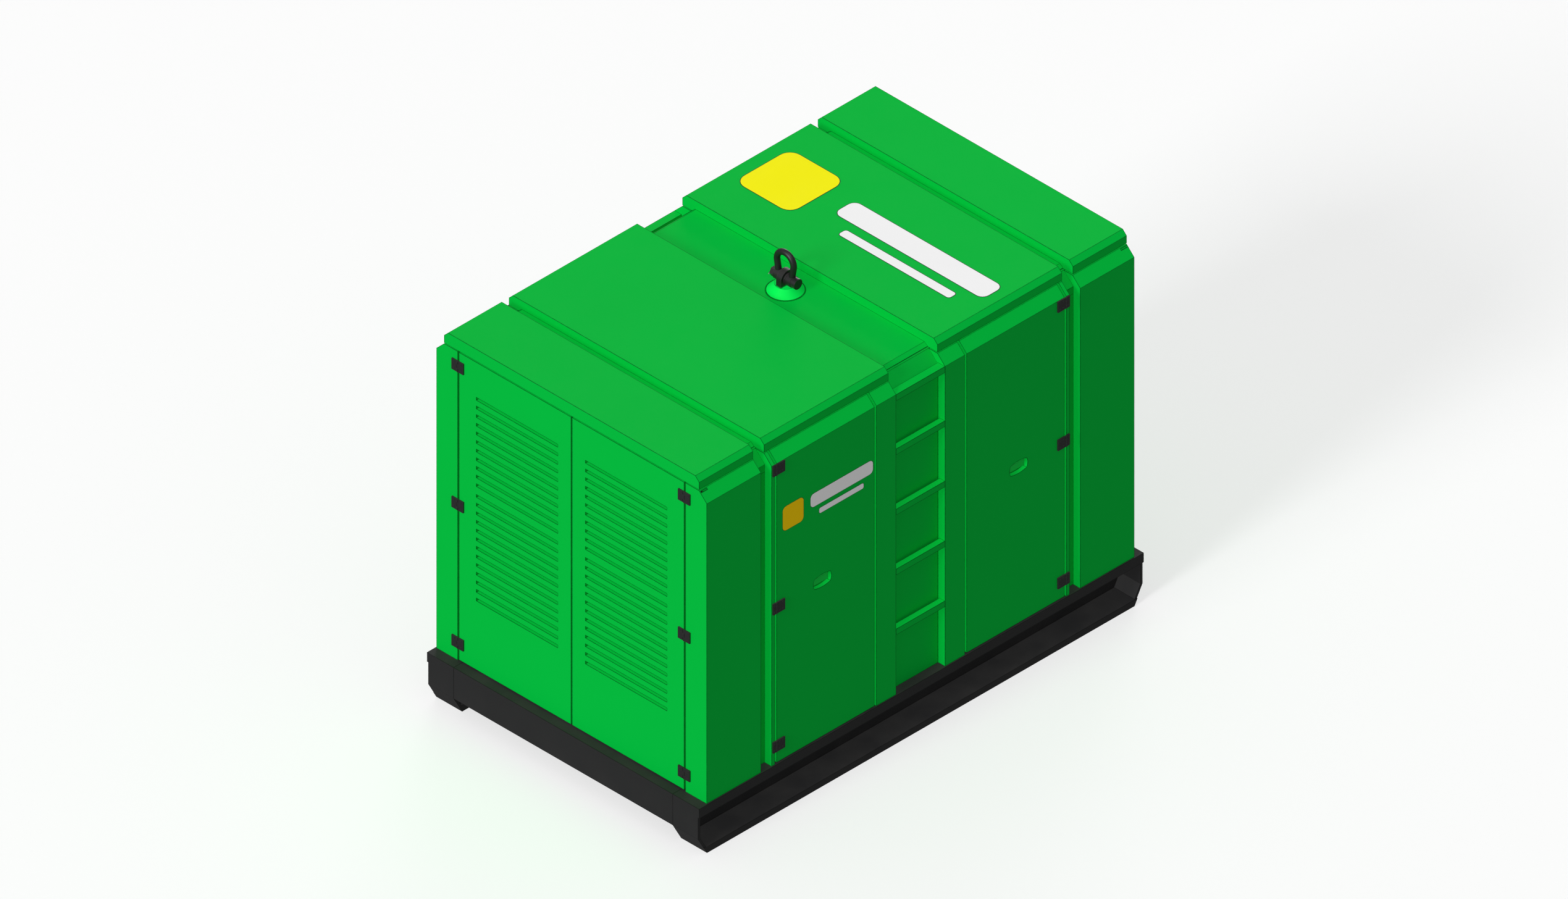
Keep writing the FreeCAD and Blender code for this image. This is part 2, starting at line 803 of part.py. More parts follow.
def shackle_pin():
    side = shackle_jaw / 2 + shackle_bar + 0.5
    pin = rod_y(-side, side + pin_head_length, 0, pin_z, shackle_pin_radius)
    head = rod_y(-side - pin_head_length, -side, 0, pin_z, pin_head_radius)
    corners = []
    for k in range(6):
        angle = math.radians(60 * k)
        corners.append((pin_head_radius * math.cos(angle), pin_z + pin_head_radius * math.sin(angle)))
    nut = prism_y(corners, side, side + pin_head_length - 4)
    return pin.fuse([head, nut]).removeSplitter()


# --- engine, radiator and exhaust ---

def bed_rails():
    half = rail_length / 2
    y0 = rail_spacing / 2 - rail_width / 2
    y1 = y0 + rail_width
    web = y0 + rail_steel
    low = floor_top + rail_steel
    high = rail_top - rail_steel
    outline = [(y0, floor_top), (y1, floor_top), (y1, low), (web, low)]
    outline += [(web, high), (y1, high), (y1, rail_top), (y0, rail_top)]
    return at_sides(prism_x(outline, -half, half))


def vibration_mounts():
    pieces = []
    for x in mount_places:
        block = rod_z(rail_top, foot_z, x, rail_spacing / 2, mount_radius)
        middle = V(x, rail_spacing / 2, rail_top + mount_height / 2)
        waist = Part.makeTorus(mount_radius, mount_waist, middle)
        pieces += at_sides(block.cut(waist))
    return pieces


def support_foot(x, inner):
    """Bracket from the engine or alternator side down to a rubber mount."""
    outer = rail_spacing / 2 + mount_radius
    pad = box(x - foot_length / 2, x + foot_length / 2, inner, outer, foot_z, foot_z + foot_plate)
    side = x - foot_rib / 2
    rib_top = foot_z + foot_rib_height
    gusset = face_of([V(side, inner, foot_z), V(side, outer, foot_z), V(side, inner, rib_top)])
    return pad.fuse(gusset.extrude(V(foot_rib, 0, 0)))


def engine_block():
    half = block_width / 2
    block = box(block_start, block_end, -half, half, block_bottom, block_top)
    block = block.makeFillet(block_round, [e for e in block.Edges if abs(e.Length - block_length) < 0.1])
    rib_half = half + block_rib_depth
    for k in range(cylinders):
        x = block_start + block_rib_start + block_rib_pitch * k
        block = block.fuse(box(x, x + block_rib_width, -rib_half, rib_half, block_bottom + block_rib_margin,
                               block_top - block_rib_margin))
    bell = rod_x(block_end, bell_end, 0, crank_z, bell_radius)
    room = rod_x(block_end + bell_wall, bell_end, 0, crank_z, flywheel_radius + flywheel_gap)
    pump = rod_x(block_start - pump_reach, block_start + 10, 0, fan_z, pump_radius)
    feet = []
    for x in mount_places[:1]:
        feet += at_sides(support_foot(x, half - 10))
    for side in at_sides(support_foot(mount_places[1], half - 10)):
        feet.append(side.cut(room))
    block = block.fuse([bell, pump] + feet).cut(room)
    crankcase = box(block_start + crankcase_wall, block_end - crankcase_wall, crankcase_wall - half,
                    half - crankcase_wall, block_bottom, crank_z + crank_radius + crankcase_wall / 2)
    bore = rod_x(block_start - 20, bell_end, 0, crank_z, crank_radius + running_fit)
    fan_bore = rod_x(block_start - 20, block_start + 30, 0, fan_z, fan_shaft_radius + running_fit)
    return block.cut([crankcase, bore, fan_bore]).removeSplitter()


def oil_sump():
    half = sump_width / 2
    low = block_bottom - sump_depth
    outline = [(-half, block_bottom), (half, block_bottom), (half - 20, low), (-half + 20, low)]
    pan = prism_x(outline, block_start + 40, block_end - 20)
    flange = box(block_start + 20, block_end - 5, -half - 20, half + 20, block_bottom - 8, block_bottom)
    return pan.fuse(flange).removeSplitter()


def starter_motor():
    y = -block_width / 2 - starter_radius - starter_gap
    z = crank_z - starter_drop
    body = rod_x(block_end - starter_length, block_end, y, z, starter_radius)
    solenoid = rod_x(block_end - starter_length / 2, block_end, y - 20, z + starter_radius + 8, 24)
    rear = [edge for edge in body.Edges if edge.Closed and edge.BoundBox.XMax < block_end - 1]
    return body.makeFillet(8, rear).fuse(solenoid).removeSplitter()


def engine_filters():
    side = -block_width / 2
    y = side - filter_radius - starter_gap
    pieces = []
    for x in filter_places:
        low = crank_z - filter_height / 2
        can = rod_z(low, low + filter_height, x, y, filter_radius)
        bottom = [edge for edge in can.Edges if edge.Closed and edge.BoundBox.ZMax < low + 1]
        neck = box(x - 25, x + 25, y, side, low + filter_height, low + filter_height + 30)
        pieces.append(can.makeFillet(10, bottom).fuse(neck).removeSplitter())
    return pieces


def cylinder_head():
    half = head_width / 2
    head = box(block_start + 15, block_end - 15, -half, half, block_top, head_top)
    cover_half = cover_width / 2
    cover = box(block_start + 30, block_end - 30, -cover_half, cover_half, head_top, cover_top)
    upright = [edge for edge in cover.Edges if abs(edge.Length - cover_height) < 0.1]
    port_z = head_top - port_drop
    manifold = rod_x(block_start + 60, block_end - 60, exhaust_y, port_z, manifold_radius)
    pieces = [head, cover.makeFillet(cover_round, upright)]
    runners = []
    for k in range(cylinders):
        x = block_start + port_start + port_pitch * k
        runners.append(rod_y(half, exhaust_y, x, port_z, port_radius))
    return pieces + [manifold.fuse(runners)]


def exhaust_system():
    z = deck_z + silencer_height
    half = silencer_length / 2
    silencer = rod_y(-half, half, silencer_x, z, silencer_radius)
    silencer = silencer.makeFillet(silencer_round, [edge for edge in silencer.Edges if edge.Closed])
    bend = 4 * exhaust_radius
    start = V(exhaust_x, exhaust_y, head_top - port_drop + manifold_radius)
    rise = V(exhaust_x, exhaust_y, z - bend)
    level = V(exhaust_x - bend, exhaust_y, z)
    end = V(silencer_x, exhaust_y, z)
    middle = V(exhaust_x - bend + bend * math.cos(math.pi / 4), exhaust_y,
               z - bend + bend * math.sin(math.pi / 4))
    path = Part.Wire([Part.makeLine(start, rise), Part.Arc(rise, middle, level).toShape(),
                      Part.makeLine(level, end)])
    section = Part.Wire([Part.makeCircle(exhaust_radius, start, V(0, 0, 1))])
    pipe = path.makePipeShell([section], True, True)
    tail_end = -body_x + panel_depth
    tail = rod_x(tail_end, silencer_x, -exhaust_y, z, exhaust_radius)
    chamber = rod_y(-half + exhaust_wall, half - exhaust_wall, silencer_x, z, silencer_radius - exhaust_wall)
    chamber = chamber.makeFillet(silencer_round - exhaust_wall, [e for e in chamber.Edges if e.Closed])
    outlet = rod_x(tail_end, silencer_x, -exhaust_y, z, exhaust_radius - exhaust_wall)
    straps = []
    strap_low = z + silencer_radius - 0.8 * exhaust_wall
    for y in (-half * 0.6, half * 0.6):
        straps.append(box(silencer_x - strap_width / 2, silencer_x + strap_width / 2, y - strap_thickness / 2,
                          y + strap_thickness / 2, strap_low, roof_z - sheet))
    return silencer.fuse([pipe, tail] + straps).cut([chamber, outlet]).removeSplitter()


def air_cleaner():
    y = -cover_width
    seat = cover_top + cleaner_gap
    x0 = exhaust_x - cleaner_length / 2
    body = rod_x(x0, x0 + cleaner_length, y, seat + cleaner_radius, cleaner_radius)
    body = body.makeFillet(cleaner_round, [edge for edge in body.Edges if edge.Closed])
    saddle = box(exhaust_x - 40, exhaust_x + 40, y - 60, -20, cover_top, seat + 12)
    return body.fuse(saddle).removeSplitter()


def radiator():
    half = radiator_width / 2
    low = deck_z + radiator_bottom
    high = low + radiator_height
    core = box(radiator_back, radiator_face, -half, half, low, high)
    tanks = []
    for z in (low - header_tank, high):
        tanks.append(box(radiator_back - 5, radiator_face + 5, -half, half, z, z + header_tank))
    sides = at_sides(box(radiator_back - 10, radiator_face + 10, half, half + radiator_side,
                         floor_top, high + header_tank))
    ring_radius = fan_radius + shroud_clearance
    shroud_end = radiator_face + shroud_length
    shroud = box(radiator_face, radiator_face + shroud_wall, -half, half, low, high)
    shroud = shroud.fuse(rod_x(radiator_face, shroud_end, 0, fan_z, ring_radius + shroud_wall))
    shroud = shroud.cut(rod_x(radiator_face, shroud_end, 0, fan_z, ring_radius))
    return core.fuse(tanks + sides + [shroud]).removeSplitter()


def cooling_fan():
    hub_end = radiator_face + shroud_length
    hub_start = hub_end - fan_hub_length
    fan = rod_x(hub_start, hub_end, 0, fan_z, fan_hub_radius)
    fan = fan.fuse(rod_x(hub_end, block_start + 25, 0, fan_z, fan_shaft_radius))
    blade_x = hub_start + fan_blade_place
    half = fan_blade_width / 2
    blade = box(blade_x - fan_blade_thickness / 2, blade_x + fan_blade_thickness / 2, -half, half,
                fan_hub_radius - 12, fan_radius)
    blade.rotate(V(blade_x, 0, 0), V(0, 0, 1), fan_blade_angle)
    blade.translate(V(0, 0, fan_z))
    blades = []
    for k in range(fan_blades):
        turned_blade = blade.copy()
        turned_blade.rotate(V(0, 0, fan_z), V(1, 0, 0), 360.0 / fan_blades * k)
        blades.append(turned_blade)
    return fan.fuse(blades + [pulley(fan_z, fan_pulley_radius)]).removeSplitter()


def pulley(z, radius):
    wheel = rod_x(pulley_start, pulley_start + pulley_width, 0, z, radius + 4)
    groove = rod_x(pulley_start + 2.5, pulley_start + pulley_width - 2.5, 0, z, radius + 4)
    return wheel.cut(groove.cut(rod_x(pulley_start, pulley_start + pulley_width, 0, z, radius)))


def belt_outline(grow):
    """Loop round the crank and fan pulleys, two straight runs tangent to both."""
    low = crank_pulley_radius + grow
    high = fan_pulley_radius + grow
    lean = math.asin((low - high) / (fan_z - crank_z))
    y, z = math.cos(lean), math.sin(lean)
    x = pulley_start + pulley_width / 2 - belt_width / 2
    low_right = V(x, low * y, crank_z + low * z)
    high_right = V(x, high * y, fan_z + high * z)
    low_left = V(x, -low * y, crank_z + low * z)
    high_left = V(x, -high * y, fan_z + high * z)
    edges = [Part.makeLine(low_right, high_right),
             Part.Arc(high_right, V(x, 0, fan_z + high), high_left).toShape(),
             Part.makeLine(high_left, low_left),
             Part.Arc(low_left, V(x, 0, crank_z - low), low_right).toShape()]
    return Part.Face(Part.Wire(edges)).extrude(V(belt_width, 0, 0))


def drive_belt():
    return belt_outline(belt_clearance + belt_thickness).cut(belt_outline(belt_clearance))


def crankshaft():
    shaft = rod_x(pulley_start, bell_end, 0, crank_z, crank_radius)
    wheel = rod_x(bell_end - flywheel_length - 5, bell_end - 5, 0, crank_z, flywheel_radius)
    return shaft.fuse([wheel, pulley(crank_z, crank_pulley_radius)]).removeSplitter()


# --- alternator and electrical ---

def alternator_stator():
    stator = rod_x(bell_end, stator_end, 0, crank_z, stator_radius)
    room = rod_x(bell_end, stator_end - end_bracket, 0, crank_z, stator_bore)
    bore = rod_x(stator_end - end_bracket, stator_end, 0, crank_z, rotor_shaft_radius + running_fit)
    half = terminal_width / 2
    crown = crank_z + stator_radius
    terminal = box(bell_end + terminal_place, stator_end - terminal_place / 2, -half, half, crown - 40,
                   crown + terminal_height)
    feet = [foot.cut(rod_x(bell_end, stator_end, 0, crank_z, stator_bore + 20))
            for foot in at_sides(support_foot(mount_places[2], stator_bore))]
    return stator.fuse([terminal] + feet).cut([room, bore]).removeSplitter()


def alternator_rotor():
    shaft = rod_x(bell_end, stator_end + 10, 0, crank_z, rotor_shaft_radius)
    core_start = bell_end + 40
    core = rod_x(core_start, core_start + rotor_length, 0, crank_z, rotor_radius)
    return shaft.fuse(core).removeSplitter()


def battery():
    length, width, height = battery_size
    x = battery_x
    y = -(body_y - panel_depth - battery_wall_gap - width / 2)
    case = box(x - length / 2, x + length / 2, y - width / 2, y + width / 2, floor_top, floor_top + height)
    for side in (-1, 1):
        case = case.fuse(rod_z(floor_top + height, floor_top + height + post_height, x + side * length / 3, y,
                               post_radius))
    return case


def control_cabinet():
    back = cabinet_face - cabinet_depth
    half = cabinet_width / 2
    top = floor_top + cabinet_height
    cabinet = box(back, cabinet_face, -half, half, floor_top, top)
    side = half - sheet
    cabinet = cabinet.cut(box(back, cabinet_face - panel_plate, -side, side, floor_top + sheet, top - sheet))
    y, z = button_place
    boss = rod_x(cabinet_face - 20, cabinet_face + 4, y, deck_z + z, button_stem + 8)
    bore = rod_x(cabinet_face - 20, cabinet_face + 4, y, deck_z + z, button_stem + running_fit)
    y, z = lever_place
    breaker = box(cabinet_face - 20, cabinet_face + 12, y - 60, y + 60, deck_z + z - 90, deck_z + z + 90)
    slot = box(cabinet_face - 16, cabinet_face + 12, y - 12, y + 12, deck_z + z - 50, deck_z + z + 50)
    pivot = rod_y(y - 30, y + 30, cabinet_face, deck_z + z, 5 + running_fit)
    return cabinet.fuse([boss, breaker]).cut([bore, slot, pivot]).removeSplitter()


def emergency_stop():
    y, z = button_place
    face = cabinet_face + 4 + button_travel + 2
    stem = rod_x(cabinet_face - 18, face, y, deck_z + z, button_stem)
    head = rod_x(face, face + 14, y, deck_z + z, button_radius)
    rim = [edge for edge in head.Edges if edge.Closed and edge.BoundBox.XMin > face + 13]
    return stem.fuse(head.makeFillet(5, rim)).removeSplitter()


def breaker_lever():
    y, z = lever_place
    hub = rod_y(y - 11, y + 11, cabinet_face, deck_z + z, 9)
    pin = rod_y(y - 28, y + 28, cabinet_face, deck_z + z, 5)
    arm = box(cabinet_face, cabinet_face + 34, y - 9, y + 9, deck_z + z - 6, deck_z + z + 6)
    arm.rotate(V(cabinet_face, y, deck_z + z), V(0, 1, 0), 30)
    return hub.fuse([pin, arm]).removeSplitter()


def build():
    os.makedirs("parts", exist_ok=True)
    runner = skid_runner()
    save("skid_runner_right", [runner])
    save("skid_runner_left", [turned(runner, 1, -1)])
    save("skid_end_beams", at_ends(skid_end_beam()))
    facings = [-1 if x < filler_x else 1 for x in cross_member_places]
    save("skid_cross_members", [cross_member(x, f) for x, f in zip(cross_member_places, facings)])
    save("floor_plate", [floor_plate()])
    save("fuel_tank", [fuel_tank()])
    save("fuel_filler_neck", [fuel_filler_neck()])
    save("fuel_cap", [fuel_cap()])

    save("corner_posts", at_corners(corner_post()))
    save("door_posts", at_corners(Part.makeCompound([narrow_post(), ladder_post()])))
    save("canopy_frame", canopy_frame())
    rungs = ladder()
    save("ladder_right", rungs)
    save("ladder_left", [turned(piece, 1, -1) for piece in rungs])
    save("roof_deck", [roof_deck()])
    main_cap = roof_cap(ladder_half + 0.5, groove_inner, groove_inner)
    end_cap = roof_cap(groove_outer + cap_groove_gap, wall_x, deck_half + 1)
    save("roof_caps", at_ends(main_cap) + at_ends(end_cap))

    save("lifting_frame", [lifting_frame()])
    save("lifting_lug", [lifting_lug()])
    save("lifting_cone", [lifting_cone()])
    save("shackle_pin", [shackle_pin()])
    save("shackle_bow", [shackle_bow()])

    save("hinge_fixed_leaves", fixed_leaves())
    side_panel = side_door()
    end_panel = end_door()
    paddle = door_paddle()
    side_leaves = Part.makeCompound(side_hinges(hinge_moving(side_leaf_moving)))
    end_leaves = Part.makeCompound(end_hinges(hinge_moving(end_leaf)))
    for end, end_name in ((-1, "front"), (1, "rear")):
        for side, side_name in ((-1, "left"), (1, "right")):
            place = end_name + "_" + side_name
            save("side_door_" + place, [turned(side_panel, end, side)])
            save("side_hinges_" + place, [turned(side_leaves, end, side)])
            save("door_handle_" + place, [turned(paddle, end, side)])
            save("end_door_" + place, [turned(end_panel, end, side)])
            save("end_hinges_" + place, [turned(end_leaves, end, side)])

    save("bed_rails", bed_rails())
    save("vibration_mounts", vibration_mounts())
    save("engine_block", [engine_block()])
    save("oil_sump", [oil_sump()])
    save("cylinder_head", cylinder_head())
    save("starter_motor", [starter_motor()])
    save("engine_filters", engine_filters())
    save("exhaust_silencer", [exhaust_system()])
    save("air_cleaner", [air_cleaner()])
    save("radiator", [radiator()])
    save("cooling_fan", [cooling_fan()])
    save("crankshaft", [crankshaft()])
    save("drive_belt", [drive_belt()])
    save("alternator_stator", [alternator_stator()])
    save("alternator_rotor", [alternator_rotor()])
    save("battery", [battery()])
    save("control_cabinet", [control_cabinet()])
    save("emergency_stop", [emergency_stop()])
    save("breaker_lever", [breaker_lever()])


build()
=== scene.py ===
import json
import math

import bmesh
import bpy
from mathutils import Matrix, Vector


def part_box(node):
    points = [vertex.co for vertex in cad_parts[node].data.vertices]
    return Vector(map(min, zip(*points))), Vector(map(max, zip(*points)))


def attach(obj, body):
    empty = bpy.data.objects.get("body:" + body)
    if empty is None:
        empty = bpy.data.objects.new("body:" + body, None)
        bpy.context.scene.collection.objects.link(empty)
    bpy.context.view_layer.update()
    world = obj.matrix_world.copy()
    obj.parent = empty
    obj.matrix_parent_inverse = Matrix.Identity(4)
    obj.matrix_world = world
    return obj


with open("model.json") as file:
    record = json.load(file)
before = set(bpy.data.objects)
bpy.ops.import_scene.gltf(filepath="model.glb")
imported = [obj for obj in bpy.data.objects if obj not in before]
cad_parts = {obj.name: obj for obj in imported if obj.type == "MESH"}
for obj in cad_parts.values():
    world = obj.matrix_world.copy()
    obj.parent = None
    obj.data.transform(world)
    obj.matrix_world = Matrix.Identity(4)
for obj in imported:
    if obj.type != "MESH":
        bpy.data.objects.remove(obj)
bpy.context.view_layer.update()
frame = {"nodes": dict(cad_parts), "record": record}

# A diesel generator set in a lockable canopy. Metres, +Z up, -X the radiator
# end, +X the control end, -Y the left side. Places are worked out from the
# boxes of the made parts; each name ends up on one finished piece.

CORNERS = [(end + "_" + side, x_sign, y_sign) for end, x_sign in (("front", -1), ("rear", 1))
           for side, y_sign in (("left", -1), ("right", 1))]

post_low, post_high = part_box("corner_posts")
wall_x = post_high.x
wall_y = post_high.y
deck_z = post_low.z
roof_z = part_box("roof_caps")[1].z
floor_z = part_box("floor_plate")[1].z


def joint_place(name):
    """A point on a joint's axis, from the record."""
    for joint in frame["record"]["behaviour"]["joints"]:
        if joint["name"] == name:
            return joint["pos_m"]


side_pin_x = joint_place("side_door_swing_rear_right")[0]
end_pin_y = joint_place("end_door_swing_rear_right")[1]
crank_z = joint_place("crank_spin")[2]


# --- effects that several finishes share ---

def feed(tree, socket, value):
    """Puts a number, a colour or another node's output on a socket."""
    if isinstance(value, bpy.types.NodeSocket):
        tree.links.new(value, socket)
    else:
        socket.default_value = value


def wire(tree, node, **values):
    """Feeds a node's inputs; Base_Color=... is the input "Base Color"."""
    for label, value in values.items():
        feed(tree, node.inputs[label.replace("_", " ")], value)
    return node


def add(tree, kind, **values):
    """New node with its inputs fed."""
    return wire(tree, tree.nodes.new(kind), **values)


def group_of(name, kind, inputs, outputs):
    """Empty node group, the values it is given, and the node that takes what it makes."""
    tree = bpy.data.node_groups.new(name, kind + "NodeTree")
    for label, socket_kind, *value in inputs:
        socket = tree.interface.new_socket(label, in_out="INPUT", socket_type="NodeSocket" + socket_kind)
        if value:
            socket.default_value = value[0]
    for label, socket_kind in outputs:
        tree.interface.new_socket(label, in_out="OUTPUT", socket_type="NodeSocket" + socket_kind)
    return tree, tree.nodes.new("NodeGroupInput").outputs, tree.nodes.new("NodeGroupOutput")


def spots(tree, scale, detail=2.0):
    """Cloudy noise over the piece, about 0.5 on average."""
    place = add(tree, "ShaderNodeTexCoord").outputs["Object"]
    return add(tree, "ShaderNodeTexNoise", Vector=place, Scale=scale, Detail=detail).outputs["Fac"]


def sums(tree, operation, *values):
    """One step of arithmetic."""
    node = tree.nodes.new("ShaderNodeMath")
    node.operation = operation
    for socket, value in zip(node.inputs, values):
        feed(tree, socket, value)
    return node.outputs["Value"]


def remap(tree, value, low, high, new_low, new_high):
    """Straight line through (low, new_low) and (high, new_high), kept between them."""
    node = add(tree, "ShaderNodeMapRange", Value=value, From_Min=low, From_Max=high, To_Min=new_low,
               To_Max=new_high)
    return node.outputs["Result"]


def blend_color(tree, share, one, two, kind="MIX"):
    """Colour two over colour one."""
    node = tree.nodes.new("ShaderNodeMix")
    node.data_type = "RGBA"
    node.blend_type = kind
    for k, value in ((0, share), (6, one), (7, two)):
        feed(tree, node.inputs[k], value)
    return node.outputs[2]


def lay_over(tree, given, made, mask, label):
    """Ends an effect: the colour of that label lies over "Color" where the mask is."""
    share = sums(tree, "MULTIPLY", mask, given["Amount"])
    wire(tree, made, Color=blend_color(tree, share, given["Color"], given[label]), Mask=mask)
    return tree


def powder_coat_effect():
    """Slow drift in the colour and gloss of a coat, with its fine orange peel."""
    tree, given, made = group_of(
        "powder coat", "Shader",
        [("Color", "Color", (0.5, 0.5, 0.5, 1)), ("Drift", "Float", 0.08),
         ("Gloss Drift", "Float", 0.1), ("Roughness", "Float", 0.5),
         ("Peel Scale", "Float", 500.0), ("Peel Depth", "Float", 0.1)],
        [("Color", "Color"), ("Roughness", "Float"), ("Normal", "Vector")])
    cloud = sums(tree, "SUBTRACT", spots(tree, 2.2, 4.0), 0.5)
    tone = sums(tree, "MULTIPLY_ADD", cloud, given["Drift"], 1.0)
    tint = add(tree, "ShaderNodeCombineColor", Red=tone, Green=tone, Blue=tone).outputs["Color"]
    patch = sums(tree, "SUBTRACT", spots(tree, 9.0, 3.0), 0.5)
    peel = add(tree, "ShaderNodeBump", Distance=0.0006, Strength=given["Peel Depth"],
               Height=spots(tree, given["Peel Scale"]))
    wire(tree, made, Color=blend_color(tree, 1.0, given["Color"], tint, "MULTIPLY"),
         Roughness=sums(tree, "MULTIPLY_ADD", patch, given["Gloss Drift"], given["Roughness"]),
         Normal=peel.outputs["Normal"])
    return tree


def edge_effect():
    """Thin line along every edge, where a coat is worn or a seam holds dirt."""
    tree, given, made = group_of(
        "edge line", "Shader",
        [("Color", "Color", (0.5, 0.5, 0.5, 1)), ("Edge Color", "Color", (0, 0, 0, 1)),
         ("Width", "Float", 0.003), ("Amount", "Float", 0.5)],
        [("Color", "Color"), ("Mask", "Float")])
    rounded = add(tree, "ShaderNodeBevel", Radius=given["Width"])
    rounded.samples = 6
    likeness = tree.nodes.new("ShaderNodeVectorMath")
    likeness.operation = "DOT_PRODUCT"
    feed(tree, likeness.inputs[0], rounded.outputs["Normal"])
    feed(tree, likeness.inputs[1], add(tree, "ShaderNodeNewGeometry").outputs["Normal"])
    near_edge = remap(tree, likeness.outputs["Value"], 0.9995, 0.95, 0.0, 1.0)
    broken = remap(tree, spots(tree, 40.0, 3.0), 0.25, 0.5, 0.75, 1.0)
    return lay_over(tree, given, made, sums(tree, "MULTIPLY", near_edge, broken), "Edge Color")


def dust_effect():
    """Thin pale dust on faces that look up, and road splash near the ground."""
    tree, given, made = group_of(
        "settled dust", "Shader",
        [("Color", "Color", (0.5, 0.5, 0.5, 1)), ("Dust Color", "Color", (0.4, 0.37, 0.32, 1)),
         ("Amount", "Float", 0.1), ("Splash Top", "Float", 0.3)],
        [("Color", "Color"), ("Mask", "Float")])
    facing = add(tree, "ShaderNodeSeparateXYZ", Vector=add(tree, "ShaderNodeNewGeometry").outputs["Normal"])
    place = add(tree, "ShaderNodeSeparateXYZ", Vector=add(tree, "ShaderNodeTexCoord").outputs["Object"])
    lying = remap(tree, facing.outputs["Z"], 0.6, 1.0, 0.0, 1.0)
    low = remap(tree, place.outputs["Z"], given["Splash Top"], 0.0, 0.0, 1.0)
    patchy = remap(tree, spots(tree, 7.0, 6.0), 0.35, 0.75, 0.0, 1.0)
    mask = sums(tree, "MULTIPLY", sums(tree, "MAXIMUM", lying, low), patchy)
    return lay_over(tree, given, made, mask, "Dust Color")


coat_group = powder_coat_effect()
edge_group = edge_effect()
dust_group = dust_effect()


# --- finishes ---

def use(tree, group, **values):
    """Places a shared effect, its inputs fed; gives its outputs."""
    node = tree.nodes.new("ShaderNodeGroup")
    node.node_tree = group
    return wire(tree, node, **values).outputs


def finish_of(name, metallic=0.0, specular=0.5, coat=0.0, coat_roughness=0.1):
    """New material, with the numbers that are the same all over it."""
    material = bpy.data.materials.new(name)
    material.use_nodes = True
    tree = material.node_tree
    shader = wire(tree, tree.nodes["Principled BSDF"], Metallic=metallic, Specular_IOR_Level=specular,
                  Coat_Weight=coat, Coat_Roughness=coat_roughness)
    return material, tree, shader


def coated(name, color, roughness, edge=(0.01, 0.01, 0.01), edge_amount=0.5, width=0.003, drift=0.08,
           peel=(500.0, 0.1), dust=0.08, splash=0.3, **body):
    """Painted, plated or moulded surface: coat, edges, then dust on top."""
    material, tree, shader = finish_of(name, **body)
    coat = use(tree, coat_group, Color=(*color, 1), Roughness=roughness, Drift=drift,
               Peel_Scale=peel[0], Peel_Depth=peel[1])
    edges = use(tree, edge_group, Color=coat["Color"], Edge_Color=(*edge, 1), Width=width,
                Amount=edge_amount)
    dusty = use(tree, dust_group, Color=edges["Color"], Amount=dust, Splash_Top=splash)
    matt = sums(tree, "MULTIPLY_ADD", dusty["Mask"], 0.15, coat["Roughness"])
    wire(tree, shader, Base_Color=dusty["Color"], Roughness=matt, Normal=coat["Normal"])
    return material


def cast_iron(name, color, roughness, metallic=0.0):
    """Painted casting: coarse sand texture under the paint."""
    material, tree, shader = finish_of(name, metallic=metallic, specular=0.4)
    coat = use(tree, coat_group, Color=(*color, 1), Roughness=roughness, Drift=0.25,
               Peel_Scale=140.0, Peel_Depth=0.5)
    bare = [c * 1.8 + 0.02 for c in color]
    edges = use(tree, edge_group, Color=coat["Color"], Edge_Color=(*bare, 1), Width=0.002, Amount=0.5)
    dusty = use(tree, dust_group, Color=edges["Color"], Dust_Color=(0.05, 0.045, 0.04, 1),
                Amount=0.45, Splash_Top=0.6)
    wire(tree, shader, Base_Color=dusty["Color"], Roughness=coat["Roughness"], Normal=coat["Normal"])
    return material


def heated_steel(name):
    """Stainless exhaust: straw and blue heat colours in slow bands."""
    material, tree, shader = finish_of(name, metallic=1.0)
    ramp = add(tree, "ShaderNodeValToRGB", Fac=spots(tree, 3.0, 5.0))
    stops = ramp.color_ramp.elements
    stops[0].position = 0.3
    stops[0].color = (0.36, 0.33, 0.30, 1)
    stops[1].position = 0.72
    stops[1].color = (0.20, 0.19, 0.24, 1)
    stops.new(0.5).color = (0.42, 0.30, 0.17, 1)
    coat = use(tree, coat_group, Color=ramp.outputs["Color"], Roughness=0.42, Drift=0.2,
               Gloss_Drift=0.25, Peel_Scale=300.0, Peel_Depth=0.12)
    wire(tree, shader, Base_Color=coat["Color"], Roughness=coat["Roughness"], Normal=coat["Normal"])
    return material


def foam(name):
    """Open-cell sound foam, charcoal, pitted all over, each pit darkened with painted shade."""
    material, tree, shader = finish_of(name, specular=0.1)
    place = add(tree, "ShaderNodeTexCoord").outputs["Object"]
    pit_depth_and_shade = add(tree, "ShaderNodeTexVoronoi", Vector=place, Scale=260.0).outputs["Distance"]
    pits = add(tree, "ShaderNodeBump", Strength=0.7, Distance=0.002, Height=pit_depth_and_shade)
    # The same cell pattern that sinks the pits also darkens them: painted shade in the pits.
    wire(tree, shader, Normal=pits.outputs["Normal"],
         Base_Color=blend_color(tree, pit_depth_and_shade, (0.012, 0.012, 0.013, 1), (0.075, 0.075, 0.078, 1)),
         Roughness=remap(tree, spots(tree, 30.0), 0.3, 0.7, 0.85, 0.98))
    return material


def dark_glass(name):
    """Display window: nearly black, with a faint cloudy tint."""
    material, tree, shader = finish_of(name, coat=1.0, coat_roughness=0.03)
    wire(tree, shader, Base_Color=blend_color(tree, spots(tree, 25.0, 3.0), (0.004, 0.010, 0.009, 1),
                                              (0.012, 0.030, 0.022, 1)),
         Roughness=remap(tree, spots(tree, 90.0), 0.3, 0.7, 0.05, 0.12))
    return material


GREEN = (0.0004, 0.485, 0.047)
GREEN_LINE = (0.0004, 0.030, 0.006)

